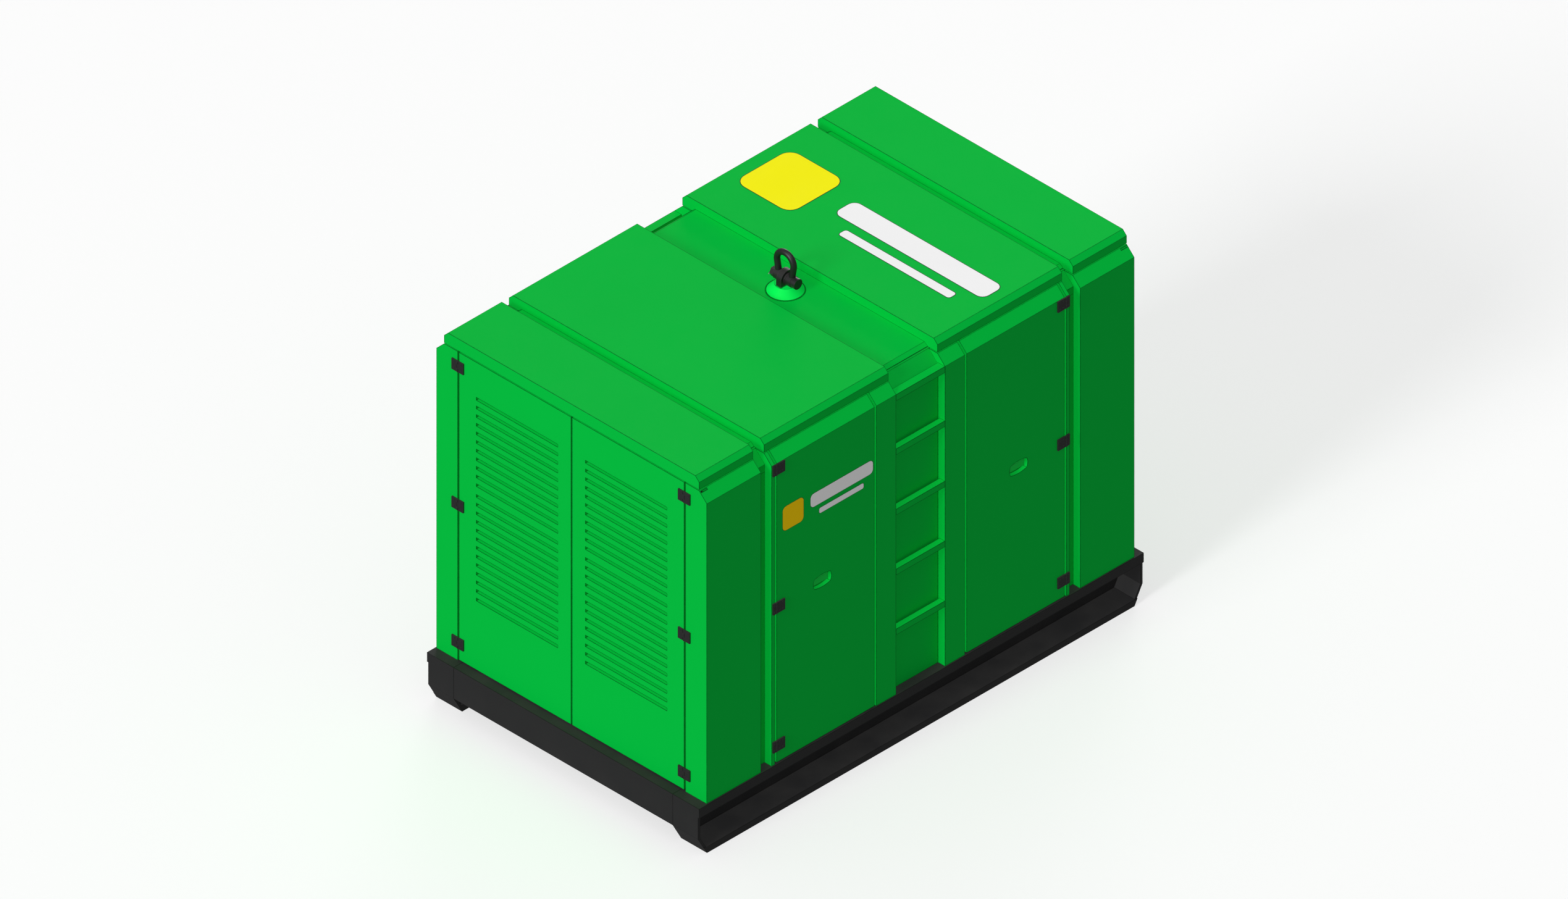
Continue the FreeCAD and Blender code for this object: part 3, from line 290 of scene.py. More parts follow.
finishes = {"canopy_paint": coated("canopy green powder coat", GREEN, 0.5, GREEN_LINE, 0.95, 0.0046, 0.05,
                                   (420.0, 0.06), 0.004, 0.28, specular=0.03),
            "frame_paint": coated("frame green powder coat", (0.0004, 0.43, 0.042), 0.55, GREEN_LINE,
                                  0.95, 0.0046, 0.07, (420.0, 0.06), 0.01, specular=0.04),
            # The lifting cone's green is much lighter than the canopy green: a painted highlight.
            "cone_paint": coated("lifting point green with painted highlight", (0.001, 0.78, 0.085), 0.45, GREEN_LINE, 0.8,
                                 0.0036, 0.05, (420.0, 0.06), 0.0, specular=0.05),
            "handle_paint": coated("handle green", (0.001, 0.60, 0.06), 0.4, GREEN_LINE, 0.85, 0.0025,
                                   0.05, dust=0.0, specular=0.12),
            "skid_paint": coated("skid black enamel", (0.0200, 0.0200, 0.0205), 0.5,
                                 (0.002, 0.002, 0.002), 0.9, 0.0046, 0.15, (160.0, 0.15), 0.02, 0.22,
                                 specular=0.2), "hinge_black": coated("hinge black",
                                                                      (0.0160, 0.0160, 0.0165), 0.42,
                                                                      (0.06, 0.06, 0.062), 0.35, 0.0015,
                                                                      0.2, (500.0, 0.1), 0.05,
                                                                      specular=0.35),
            "forged_black": coated("forged shackle black", (0.010, 0.010, 0.0105), 0.45,
                                   (0.10, 0.10, 0.10), 0.35, 0.0015, 0.35, (190.0, 0.35), 0.05,
                                   specular=0.4),
            "engine_paint": cast_iron("engine grey-blue enamel", (0.055, 0.085, 0.105), 0.5),
            "sump_paint": cast_iron("sump black enamel", (0.022, 0.022, 0.024), 0.45),
            "alternator_paint": cast_iron("alternator grey enamel", (0.115, 0.125, 0.13), 0.5),
            "exhaust_steel": heated_steel("heat-tinted exhaust steel"),
            "filter_black": coated("filter can black", (0.014, 0.014, 0.015), 0.35, (0.08, 0.08, 0.08),
                                   0.5, 0.0015, 0.2, dust=0.2, specular=0.5),
            "tank_plastic": coated("moulded tank plastic", (0.020, 0.020, 0.021), 0.6, (0.05, 0.05, 0.05),
                                   0.3, 0.003, 0.3, (90.0, 0.35), 0.2, 0.5, specular=0.35),
            "radiator_black": coated("radiator black", (0.012, 0.012, 0.013), 0.55, (0.05, 0.05, 0.05),
                                     0.4, 0.002, 0.25, dust=0.3, specular=0.35),
            "fan_plastic": coated("fan plastic", (0.35, 0.33, 0.28), 0.5, (0.55, 0.53, 0.48), 0.4, 0.0015,
                                  0.15, dust=0.25, specular=0.4),
            "shaft_steel": coated("turned shaft steel", (0.52, 0.52, 0.54), 0.28, (0.75, 0.75, 0.76), 0.5,
                                  0.0015, 0.15, (260.0, 0.12), 0.05, metallic=1.0),
            "rubber_black": coated("rubber", (0.014, 0.014, 0.014), 0.8, (0.035, 0.035, 0.035), 0.4,
                                   0.0015, 0.3, (700.0, 0.4), 0.2, specular=0.25),
            "cabinet_grey": coated("cabinet light grey", (0.42, 0.43, 0.43), 0.45, (0.62, 0.62, 0.62),
                                   0.4, 0.0015, 0.05, (600.0, 0.12), 0.06, specular=0.35),
            "button_red": coated("button red", (0.52, 0.010, 0.008), 0.3, (0.7, 0.08, 0.06), 0.4, 0.001,
                                 0.06, (500.0, 0.03), 0.02, coat=0.5),
            "lever_black": coated("lever black", (0.015, 0.015, 0.015), 0.4, (0.06, 0.06, 0.06), 0.4,
                                  0.001, 0.1, dust=0.03),
            "neck_steel": coated("zinc-plated steel", (0.50, 0.49, 0.44), 0.35, (0.7, 0.7, 0.68), 0.4,
                                 0.0015, 0.2, (320.0, 0.15), 0.1, metallic=1.0),}

# The roof film is a paler, brighter yellow than the door film of the same print: a painted highlight on the
# lit roof.
roof_yellow_painted_highlight = coated("roof yellow film with painted highlight", (0.97, 0.91, 0.0), 0.55, (0.25, 0.20, 0.0), 0.5, 0.0015, 0.03,
                     (300.0, 0.03), 0.005, specular=0.08)
door_yellow = coated("door yellow film", (1.0, 0.66, 0.0), 0.55, (0.25, 0.18, 0.0), 0.5, 0.0015, 0.03,
                     (300.0, 0.03), 0.005, specular=0.08)
white_film = coated("white film", (0.95, 0.95, 0.95), 0.55, (0.3, 0.3, 0.3), 0.5, 0.0015, 0.03,
                    (300.0, 0.03), 0.01, specular=0.15)
film_rim = coated("dark film rim", (0.012, 0.012, 0.012), 0.4, (0.02, 0.02, 0.02), 0.3, 0.001, 0.1,
                  (300.0, 0.03), 0.02, specular=0.25)
rubber = finishes["rubber_black"]
acoustic_foam = foam("sound foam")
screen_glass = dark_glass("display window")
red_sheath = coated("red cable sheath", (0.42, 0.012, 0.010), 0.5, (0.5, 0.1, 0.1), 0.3, 0.001, 0.15,
                    dust=0.2)
blue_plastic = coated("blue socket plastic", (0.010, 0.065, 0.36), 0.35, (0.1, 0.2, 0.6), 0.4, 0.001, 0.05)
red_plastic = coated("red socket plastic", (0.48, 0.012, 0.010), 0.35, (0.7, 0.15, 0.15), 0.4, 0.001, 0.05)
amber_lens = coated("amber lamp lens", (0.75, 0.28, 0.01), 0.2, (0.9, 0.5, 0.1), 0.3, 0.001, 0.05, coat=0.8)
green_lens = coated("green lamp lens", (0.02, 0.42, 0.08), 0.2, (0.2, 0.7, 0.3), 0.3, 0.001, 0.05, coat=0.8)
filter_white = coated("white filter enamel", (0.62, 0.62, 0.60), 0.3, (0.35, 0.35, 0.35), 0.4, 0.0015,
                      0.08, dust=0.15)
brass = coated("brass", (0.60, 0.40, 0.12), 0.3, (0.8, 0.6, 0.3), 0.4, 0.001, 0.15, metallic=1.0)
fin_aluminium = coated("fin aluminium", (0.33, 0.34, 0.35), 0.45, (0.5, 0.5, 0.5), 0.3, 0.001, 0.2, dust=0.3,
                       metallic=0.8)


def paint_made_parts():
    """Every made part takes the finish of its slot in the record; the lifting cone then gets a lighter green
    as a painted highlight.
    """
    for entry in frame["record"]["subparts"]:
        part = frame["nodes"][entry["node"]]
        part.data.materials.clear()
        part.data.materials.append(finishes[entry["material_slot"]])
    # Lighter green on the cone: a painted highlight.
    frame["nodes"]["lifting_cone"].data.materials[0] = finishes["cone_paint"]


# --- shaping ---

def block(bm, low, high, edge=0.0, turn=None):
    """Box between two corners, its edges rounded by `edge`."""
    made = bmesh.ops.create_cube(bm, size=1.0)["verts"]
    low = Vector(low)
    high = Vector(high)
    place = Matrix.Translation((low + high) / 2)
    if turn is not None:
        place = place @ turn
    bmesh.ops.transform(bm, matrix=place @ Matrix.Diagonal((*(high - low), 1)), verts=made)
    if edge > 0:
        edges = list({e for vert in made for e in vert.link_edges})
        bmesh.ops.bevel(bm, geom=edges, offset=edge, segments=2, profile=0.5, affect="EDGES")


def circle(radius, count, start=0.0):
    """(angle, across, up) of evenly spaced points; `start` is a share of the first step."""
    angles = [2 * math.pi * (k + start) / count for k in range(count)]
    return [(angle, radius * math.cos(angle), radius * math.sin(angle)) for angle in angles]


def leaning(start, axis):
    """Carries the origin to `start` and the Z direction to `axis`."""
    return Matrix.Translation(start) @ Vector((0, 0,
                                               1)).rotation_difference(Vector(axis)).to_matrix().to_4x4()


def turned(bm, profile, start, axis, sides=28):
    """Round shape: (radius, height) pairs along an axis from `start`."""
    place = leaning(start, axis)
    rings = []
    for radius, height in profile:
        rings.append([bm.verts.new(place @ Vector((x, y, height))) for _, x, y in circle(radius, sides)])
    for one, two in zip(rings, rings[1:]):
        for k in range(sides):
            after = (k + 1) % sides
            bm.faces.new((one[k], one[after], two[after], two[k]))
    bm.faces.new(list(reversed(rings[0])))
    bm.faces.new(rings[-1])


def band(bm, radius, thickness, width, start, axis, sides=36):
    """Closed ring band round an axis."""
    place = leaning(start, axis)
    section = [(radius, 0), (radius + thickness, 0), (radius + thickness, width), (radius, width)]
    rings = []
    for k in range(sides):
        a = 2 * math.pi * k / sides
        rings.append([bm.verts.new(place @ Vector((r * math.cos(a), r * math.sin(a), h)))
                      for r, h in section])
    for k in range(sides):
        one = rings[k]
        two = rings[(k + 1) % sides]
        for j in range(4):
            after = (j + 1) % 4
            bm.faces.new((one[j], two[j], two[after], one[after]))


def pipe(bm, points, radius, sides=3):
    """Round tube along a smooth line that the points draw in."""
    line = bpy.data.curves.new("line", "CURVE")
    line.dimensions = "3D"
    line.bevel_depth = radius
    line.bevel_resolution = sides
    line.resolution_u = 8
    line.use_fill_caps = True
    spline = line.splines.new("NURBS")
    spline.points.add(len(points) - 1)
    for knot, place in zip(spline.points, points):
        knot.co = (*place, 1)
    spline.order_u = 3
    spline.use_endpoint_u = True
    holder = bpy.data.objects.new("line", line)
    bpy.context.scene.collection.objects.link(holder)
    mesh = bpy.data.meshes.new_from_object(holder.evaluated_get(bpy.context.evaluated_depsgraph_get()))
    bm.from_mesh(mesh)
    bpy.data.meshes.remove(mesh)
    bpy.data.objects.remove(holder)
    bpy.data.curves.remove(line)


def place_piece(name, mesh, material, body):
    """A finished mesh becomes a piece of the object, riding on its body."""
    mesh.name = name
    if not mesh.materials:
        mesh.materials.append(material)
    mesh.polygons.foreach_set("use_smooth", [True] * len(mesh.polygons))
    mesh.set_sharp_from_angle(angle=math.radians(35))
    piece = bpy.data.objects.new(name, mesh)
    bpy.context.scene.collection.objects.link(piece)
    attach(piece, body)


def finish_piece(name, bm, slot, material=None, body="frame"):
    """Ends a shape: without a material of its own it takes the slot's finish."""
    bmesh.ops.recalc_face_normals(bm, faces=bm.faces)
    mesh = bpy.data.meshes.new(name)
    bm.to_mesh(mesh)
    bm.free()
    place_piece(name, mesh, material or finishes[slot], body)


# --- what repeats ---

def repeat_tree(name, *sizes):
    """Empty geometry tree: a carrier and the named sizes in, geometry out."""
    inputs = [("Geometry", "Geometry"), *sizes, ("Turn", "Vector", (0, 0, 0)), ("Material", "Material")]
    return group_of(name, "Geometry", inputs, [("Geometry", "Geometry")])


def scatter(tree, given, made, points, shape):
    """Ends a tree: the shape on every point, turned by "Turn", in one material."""
    copies = add(tree, "GeometryNodeInstanceOnPoints", Points=points, Instance=shape,
                 Rotation=given["Turn"])
    real = add(tree, "GeometryNodeRealizeInstances", Geometry=copies.outputs["Instances"])
    dressed = add(tree, "GeometryNodeSetMaterial", Geometry=real.outputs["Geometry"],
                  Material=given["Material"])
    wire(tree, made, Geometry=dressed.outputs["Geometry"])
    return tree


def bars_tree():
    """A flat bar on every point: blades, fins, slats and vents."""
    tree, given, made = repeat_tree("bars", ("Size", "Vector", (0.01, 0.01, 0.01)))
    bar = add(tree, "GeometryNodeMeshCube", Size=given["Size"])
    return scatter(tree, given, made, given["Geometry"], bar.outputs["Mesh"])


def heads_tree():
    """A screw head with its washer on every point, its axis along Z before "Turn"."""
    tree, given, made = repeat_tree("screw heads", ("Radius", "Float", 0.006), ("Height", "Float", 0.004),
                                    ("Sides", "Int", 6), ("Washer", "Float", 1.35))
    washer = sums(tree, "MULTIPLY", given["Radius"], given["Washer"])
    join = tree.nodes.new("GeometryNodeJoinGeometry")
    for share, sides, radius in ((1.0, given["Sides"], given["Radius"]), (0.3, 16, washer)):
        depth = sums(tree, "MULTIPLY", given["Height"], share)
        disc = add(tree, "GeometryNodeMeshCylinder", Vertices=sides, Radius=radius, Depth=depth)
        lift = add(tree, "ShaderNodeCombineXYZ", Z=sums(tree, "MULTIPLY", depth, 0.5))
        raised = add(tree, "GeometryNodeTransform", Geometry=disc.outputs["Mesh"],
                     Translation=lift.outputs["Vector"])
        tree.links.new(raised.outputs["Geometry"], join.inputs["Geometry"])
    return scatter(tree, given, made, given["Geometry"], join.outputs["Geometry"])


def rings_tree():
    """A round ring on every point: bellows, clamps and bands."""
    tree, given, made = repeat_tree("rings", ("Radius", "Float", 0.05), ("Wire", "Float", 0.004))
    loop = add(tree, "GeometryNodeCurvePrimitiveCircle", Resolution=32, Radius=given["Radius"])
    section = add(tree, "GeometryNodeCurvePrimitiveCircle", Resolution=8, Radius=given["Wire"])
    sweep = add(tree, "GeometryNodeCurveToMesh", Curve=loop.outputs["Curve"],
                Profile_Curve=section.outputs["Curve"])
    return scatter(tree, given, made, given["Geometry"], sweep.outputs["Mesh"])


def weld_tree():
    """Overlapping ripples along the carrier's edges."""
    tree, given, made = repeat_tree("weld bead", ("Bead", "Float", 0.004), ("Pitch", "Float", 0.005))
    path = add(tree, "GeometryNodeMeshToCurve", Mesh=given["Geometry"])
    even = tree.nodes.new("GeometryNodeResampleCurve")
    even.mode = "LENGTH"
    wire(tree, even, Curve=path.outputs["Curve"], Length=given["Pitch"])
    drop = add(tree, "GeometryNodeMeshIcoSphere", Subdivisions=2, Radius=given["Bead"])
    return scatter(tree, given, made, even.outputs["Curve"], drop.outputs["Mesh"])


def wedges_tree():
    """Foam face: a ridge-and-valley wedge on every point, side by side."""
    tree, given, made = repeat_tree("foam wedges", ("Pitch", "Float", 0.04), ("Depth", "Float", 0.01))
    cone = add(tree, "GeometryNodeMeshCone", Vertices=4, Radius_Top=0.0015, Depth=given["Depth"],
               Radius_Bottom=sums(tree, "MULTIPLY", given["Pitch"], 0.7))
    squared = add(tree, "GeometryNodeTransform", Geometry=cone.outputs["Mesh"],
                  Rotation=(0, 0, math.radians(45)))
    return scatter(tree, given, made, given["Geometry"], squared.outputs["Geometry"])


BARS = bars_tree()
HEADS = heads_tree()
RINGS = rings_tree()
WELD = weld_tree()
WEDGES = wedges_tree()


def grow(name, tree, points, slot, material=None, body="frame", paths=(), **sizes):
    """Runs a repeat tree on a carrier of points or paths and keeps the plain mesh."""
    material = material or finishes[slot]
    carrier = bpy.data.meshes.new(name)
    carrier.from_pydata([tuple(point) for point in points], list(paths), [])
    holder = bpy.data.objects.new(name + "_carrier", carrier)
    bpy.context.scene.collection.objects.link(holder)
    modifier = holder.modifiers.new("repeat", "NODES")
    modifier.node_group = tree
    sizes["Material"] = material
    for item in tree.interface.items_tree:
        if item.in_out == "INPUT" and item.name in sizes:
            modifier[item.identifier] = sizes[item.name]
    made = holder.evaluated_get(bpy.context.evaluated_depsgraph_get())
    mesh = bpy.data.meshes.new_from_object(made)
    holder.modifiers.remove(modifier)
    bpy.data.objects.remove(holder)
    bpy.data.meshes.remove(carrier)
    place_piece(name, mesh, material, body)


def screws(name, points, size, turn, washer=1.3, sides=6, slot="neck_steel", material=None, body="frame"):
    """Screw heads on the points; `size` is the radius and height of a head."""
    grow(name, HEADS, points, slot, material, body, Radius=size[0], Height=size[1], Sides=sides,
         Washer=washer, Turn=turn)


def hoops(name, points, radius, wire, turn, slot="neck_steel", material=None):
    """Round rings on the points."""
    grow(name, RINGS, points, slot, material, Radius=radius, Wire=wire, Turn=turn)


ALONG_X = (0, math.pi / 2, 0)
ALONG_MINUS_X = (0, -math.pi / 2, 0)
ALONG_Y = (-math.pi / 2, 0, 0)
ALONG_MINUS_Y = (math.pi / 2, 0, 0)
UPWARDS = (0, 0, 0)
DOWNWARDS = (math.pi, 0, 0)


# --- markings: plain shapes only ---

def film(bm, outline, lift, plane):
    """Thin film laid on a face: `plane` turns (u, v, height) into a place."""
    low = [bm.verts.new(plane(u, v, 0.0)) for u, v in outline]
    high = [bm.verts.new(plane(u, v, lift)) for u, v in outline]
    count = len(outline)
    bm.faces.new(low)
    bm.faces.new(high)
    for k in range(count):
        bm.faces.new((low[k], low[(k + 1) % count], high[(k + 1) % count], high[k]))


def rounded_bar(u0, u1, v0, v1, corner):
    """Outline of a rectangle with round corners."""
    outline = []
    for cu, cv, start in ((u1 - corner, v1 - corner, 0), (u0 + corner, v1 - corner, 90),
                          (u0 + corner, v0 + corner, 180), (u1 - corner, v0 + corner, 270)):
        for k in range(7):
            angle = math.radians(start + 15 * k)
            outline.append((cu + corner * math.cos(angle), cv + corner * math.sin(angle)))
    return outline


def markings(place, plane, body, yellow, badge, bars, rim, slot):
    """One yellow square badge and two white bars, each with a dark rim below."""
    u, v, half = badge
    shapes = [("badge", yellow, [(u - half, u + half, v - half, v + half, half * 0.35)]),
              ("bars", white_film, [(u0, u1, v0, v1, (v1 - v0) * 0.3) for u0, u1, v0, v1 in bars])]
    for label, material, outlines in shapes:
        top = bmesh.new()
        under = bmesh.new()
        for u0, u1, v0, v1, corner in outlines:
            film(top, rounded_bar(u0, u1, v0, v1, corner), 0.0008, plane)
            film(under, rounded_bar(u0 - rim, u1 + rim, v0 - rim, v1 + rim, corner + rim), 0.0004, plane)
        finish_piece(place + "_" + label, top, slot, material, body)
        finish_piece(place + "_" + label + "_rim", under, slot, film_rim, body)


def roof_markings():
    """Badge and bars on the roof's front cover, the badge in the yellow lightened as a painted highlight."""
    markings("roof", lambda u, v, h: Vector((v, -u, roof_z + h)), "frame", roof_yellow_painted_highlight,
             (-0.485, 0.512, 0.160),
             [(-0.200, 0.660, 0.480, 0.600), (-0.080, 0.560, 0.385, 0.430)], 0.003, "canopy_paint")


def door_markings():
    """Badge and bars on the left front door."""
    markings("door", lambda u, v, h: Vector((u, -wall_y - h, v)), "side_door_front_left", door_yellow,
             (-0.737, 1.447, 0.060), [(-0.636, -0.276, 1.424, 1.490), (-0.586, -0.330, 1.374, 1.400)],
             0.0016, "canopy_paint")


# --- doors ---

def hinge_screws():
    """Countersunk screws in every leaf, by the body that the leaf is on."""
    leaf = 0.007
    end_margin = 0.027
    half_pitch = 0.016
    side_post_row = 0.013
    side_leaf_rows = (0.018, 0.036)
    end_row = 0.021
    sunk = dict(size=(0.0050, 0.0010), washer=1.1, sides=16, slot="hinge_black")
    fixed_side = []
    fixed_end = []
    for place, x_sign, y_sign in CORNERS:
        low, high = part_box("side_hinges_" + place)
        pin_x = x_sign * side_pin_x
        pin_y = y_sign * end_pin_y
        y = y_sign * (wall_y + leaf)
        x = x_sign * (wall_x + leaf)
        moving_side = []
        moving_end = []
        for middle in (low.z + end_margin, (low.z + high.z) / 2, high.z - end_margin):
            for z in (middle - half_pitch, middle + half_pitch):
                fixed_side.append((pin_x + x_sign * side_post_row, y, z))
                fixed_end.append((x, pin_y + y_sign * end_row, z))
                moving_side += [(pin_x - x_sign * d, y, z) for d in side_leaf_rows]
                moving_end.append((x, pin_y - y_sign * end_row, z))
        screws("side_hinge_screws_" + place, moving_side, body="side_door_" + place,
               turn=ALONG_Y if y_sign > 0 else ALONG_MINUS_Y, **sunk)
        screws("end_hinge_screws_" + place, moving_end, body="end_door_" + place,
               turn=ALONG_X if x_sign > 0 else ALONG_MINUS_X, **sunk)
    for label, points, axis, plus, minus in (("side", fixed_side, 1, ALONG_Y, ALONG_MINUS_Y),
                                             ("end", fixed_end, 0, ALONG_X, ALONG_MINUS_X)):
        screws(label + "_post_screws_plus", [p for p in points if p[axis] > 0], turn=plus, **sunk)
        screws(label + "_post_screws_minus", [p for p in points if p[axis] < 0], turn=minus, **sunk)


def door_seals():
    """Rubber strip round the back of every door, in its gap to the frame."""
    strip = 0.014
    thickness = 0.0018
    edge = 0.0006
    inset = 0.006
    foot_inset = 0.01
    top = deck_z + 1.485
    for place, x_sign, y_sign in CORNERS:
        for kind, axis in (("side_door_", 0), ("end_door_", 1)):
            low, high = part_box(kind + place)
            along, across = (x_sign, y_sign) if axis == 0 else (y_sign, x_sign)
            u0 = min(abs(low[axis]), abs(high[axis])) + inset
            u1 = max(abs(low[axis]), abs(high[axis])) - inset
            back = (wall_y if axis == 0 else wall_x) - 0.038
            depth = sorted((across * back, across * (back - thickness)))
            foot = low.z + foot_inset
            bm = bmesh.new()
            for a0, a1, z0, z1 in ((u0, u0 + strip, foot, top), (u1 - strip, u1, foot, top),
                                   (u0 + strip, u1 - strip, foot, foot + strip),
                                   (u0 + strip, u1 - strip, top - strip, top)):
                run = sorted((along * a0, along * a1))
                if axis == 0:
                    block(bm, (run[0], depth[0], z0), (run[1], depth[1], z1), edge)
                else:
                    block(bm, (depth[0], run[0], z0), (depth[1], run[1], z1), edge)
            finish_piece(kind + "seal_" + place, bm, "rubber_black", body=kind + place)


def door_foam():
    """Wedge foam on the inside of every side door."""
    pitch = 0.042
    columns = 11
    rows = 32
    half = columns * pitch / 2 + 0.004
    backing = 0.0025
    for place, _, y_sign in CORNERS:
        low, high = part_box("side_door_" + place)
        face = y_sign * (wall_y - 0.0290)
        middle = (low.x + high.x) / 2
        points = []
        for i in range(columns):
            for j in range(rows):
                points.append((middle + (i - (columns - 1) / 2) * pitch, face, low.z + 0.075 + j * pitch))
        grow("foam_wedges_" + place, WEDGES, points, "rubber_black", acoustic_foam, "side_door_" + place,
             Pitch=pitch, Depth=0.0085, Turn=ALONG_MINUS_Y if y_sign > 0 else ALONG_Y)
        slab = sorted((face, face + y_sign * backing))
        top = low.z + 0.1 + rows * pitch - 0.04
        bm = bmesh.new()
        block(bm, (middle - half, slab[0], low.z + 0.05), (middle + half, slab[1], top), 0.001)
        finish_piece("foam_back_" + place, bm, "rubber_black", acoustic_foam, "side_door_" + place)


def louvre_blades():
    """Slanted rain blades behind the slots of every end door."""
    pitch = 0.0432
    slot = 0.0145
    top = deck_z + 1.370
    tops = [top - pitch * k for k in range(11)]
    tops += [tops[-1] - pitch - 0.0113 - pitch * k for k in range(13)]
    middle = (0.080 + 0.551) / 2
    for place, x_sign, y_sign in CORNERS:
        x = x_sign * (wall_x - 0.0270)
        points = [(x, y_sign * middle, z - slot / 2 + 0.005) for z in tops]
        grow("louvre_blades_" + place, BARS, points, "canopy_paint", body="end_door_" + place,
             Size=(0.0015, 0.490, 0.0275), Turn=(0, -x_sign * math.radians(45), 0))


# --- roof and skid ---

def cone_welds():
    """Weld ring at the foot of the lifting cone, and one round the lug plate."""
    low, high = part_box("lifting_cone")
    radius = (high.x - low.x) / 2 + 0.001
    count = 48
    ring = [(x, y, low.z + 0.0005) for _, x, y in circle(radius, count)]
    grow("cone_weld", WELD, ring, "canopy_paint", paths=[(k, (k + 1) % count) for k in range(count)],
         Bead=0.0035, Pitch=0.0045)
    half_x = 0.040
    half_y = 0.014
    corners = [(-half_x, -half_y, high.z), (half_x, -half_y, high.z), (half_x, half_y, high.z),
               (-half_x, half_y, high.z)]
    grow("lug_weld", WELD, corners, "canopy_paint", paths=[(0, 1), (1, 2), (2, 3), (3, 0)], Bead=0.003,
         Pitch=0.004)


def skid_welds():
    """Fillet beads inside the runner ends and along the cross members."""
    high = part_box("skid_runner_right")[1]
    beam_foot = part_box("skid_end_beams")[0].z
    member_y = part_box("skid_cross_members")[1].y
    points = []
    paths = []

    def run(one, two):
        points.extend((one, two))
        paths.append((len(points) - 2, len(points) - 1))

    web_y = high.y - 0.127
    web_foot = 0.125
    under_deck = deck_z - 0.014
    under_flange = deck_z - 0.012
    flange_run = 0.30
    for x_sign in (-1, 1):
        for y_sign in (-1, 1):
            x = x_sign * (high.x - 0.012)
            y = y_sign * web_y
            run((x, y, web_foot), (x, y, under_deck))
            run((x, y, under_flange), (x - x_sign * flange_run, y, under_flange))
    for x in (-0.860, -0.330, 0.430, 0.900):
        for y_sign in (-1, 1):
            for dx in (-0.040, 0.040):
                y = y_sign * member_y
                run((x + dx, y, beam_foot), (x + dx, y, under_deck))
    grow("skid_weld_beads", WELD, points, "skid_paint", paths=paths, Bead=0.004, Pitch=0.005)


def shackle_safety_pin():
    """Split pin through the end of the shackle's bolt."""
    low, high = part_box("shackle_pin")
    z = (low.z + high.z) / 2
    y = high.y - 0.0022
    bm = bmesh.new()
    pipe(bm, [(0.024, y + 0.001, z + 0.004), (0.019, y, z), (0.006, y, z), (-0.010, y, z), (-0.020, y, z),
              (-0.025, y + 0.001, z - 0.008)], 0.0016)
    band(bm, 0.0035, 0.0022, 0.0026, (0.027, y - 0.0015, z + 0.0055), (0, 1, 0), 20)
    finish_piece("shackle_split_pin", bm, "neck_steel")


# --- engine ---

cover_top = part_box("cylinder_head")[1].z
cylinders = [-0.505, -0.365, -0.225, -0.085]
head_top = 1.010
rail_y = -0.166
cleaner_y = -0.220
cleaner_z = 1.185


def injection():
    """Common rail, injectors and their steel lines on the left of the head."""
    bm = bmesh.new()
    turned(bm, [(0.008, 0), (0.012, 0.004), (0.012, 0.476), (0.008, 0.480)], (-0.545, rail_y, 0.992),
           (1, 0, 0), 20)
    for x in cylinders:
        turned(bm, [(0.016, 0), (0.016, 0.010), (0.011, 0.012), (0.011, 0.034), (0.007, 0.038),
                    (0.007, 0.050)], (x, -0.130, head_top), (0, 0, 1), 18)
        pipe(bm, [(x, -0.130, 1.056), (x, -0.131, 1.074), (x + 0.012, -0.146, 1.082),
                  (x + 0.026, -0.163, 1.062), (x + 0.030, rail_y, 1.030), (x + 0.030, rail_y, 1.002)],
             0.0032, 2)
        turned(bm, [(0.008, 0), (0.008, 0.012)], (x + 0.030, rail_y, 1.000), (0, 0, 1), 6)
    finish_piece("injection_lines", bm, "neck_steel")


def intake():
    """Intake manifold along the head and the pipe from the air cleaner."""
    bm = bmesh.new()
    block(bm, (-0.560, -0.200, 0.908), (-0.050, -0.150, 0.968), 0.014)
    for x in cylinders:
        block(bm, (x - 0.032, -0.160, 0.912), (x + 0.032, -0.1495, 0.964), 0.004)
    finish_piece("intake_manifold", bm, "alternator_paint")
    bm = bmesh.new()
    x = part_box("air_cleaner")[1].x
    pipe(bm, [(x - 0.004, cleaner_y, cleaner_z), (x + 0.050, cleaner_y, cleaner_z),
              (x + 0.105, -0.222, 1.180), (x + 0.118, -0.232, 1.110), (x + 0.100, -0.240, 1.010),
              (x + 0.060, -0.236, 0.942), (x + 0.030, -0.212, 0.938), (x + 0.020, -0.186, 0.938)], 0.030,
         5)
    finish_piece("intake_hose", bm, "rubber_black")
    hoops("intake_hose_clamps", [(x + 0.014, cleaner_y, cleaner_z)], 0.0305, 0.0026, ALONG_X)
    hoops("air_cleaner_bands", [(x - 0.045, cleaner_y, cleaner_z), (x - 0.300, cleaner_y, cleaner_z)],
          0.0905, 0.0028, ALONG_X)
    bm = bmesh.new()
    for angle, across, up in circle(0.093, 3, 0.25):
        y = cleaner_y + across
        z = cleaner_z + up
        block(bm, (x - 0.040, y - 0.007, z - 0.003), (x - 0.004, y + 0.007, z + 0.003), 0.0015,
              Matrix.Rotation(angle - math.pi / 2, 4, "X"))
    finish_piece("air_cleaner_clips", bm, "neck_steel")


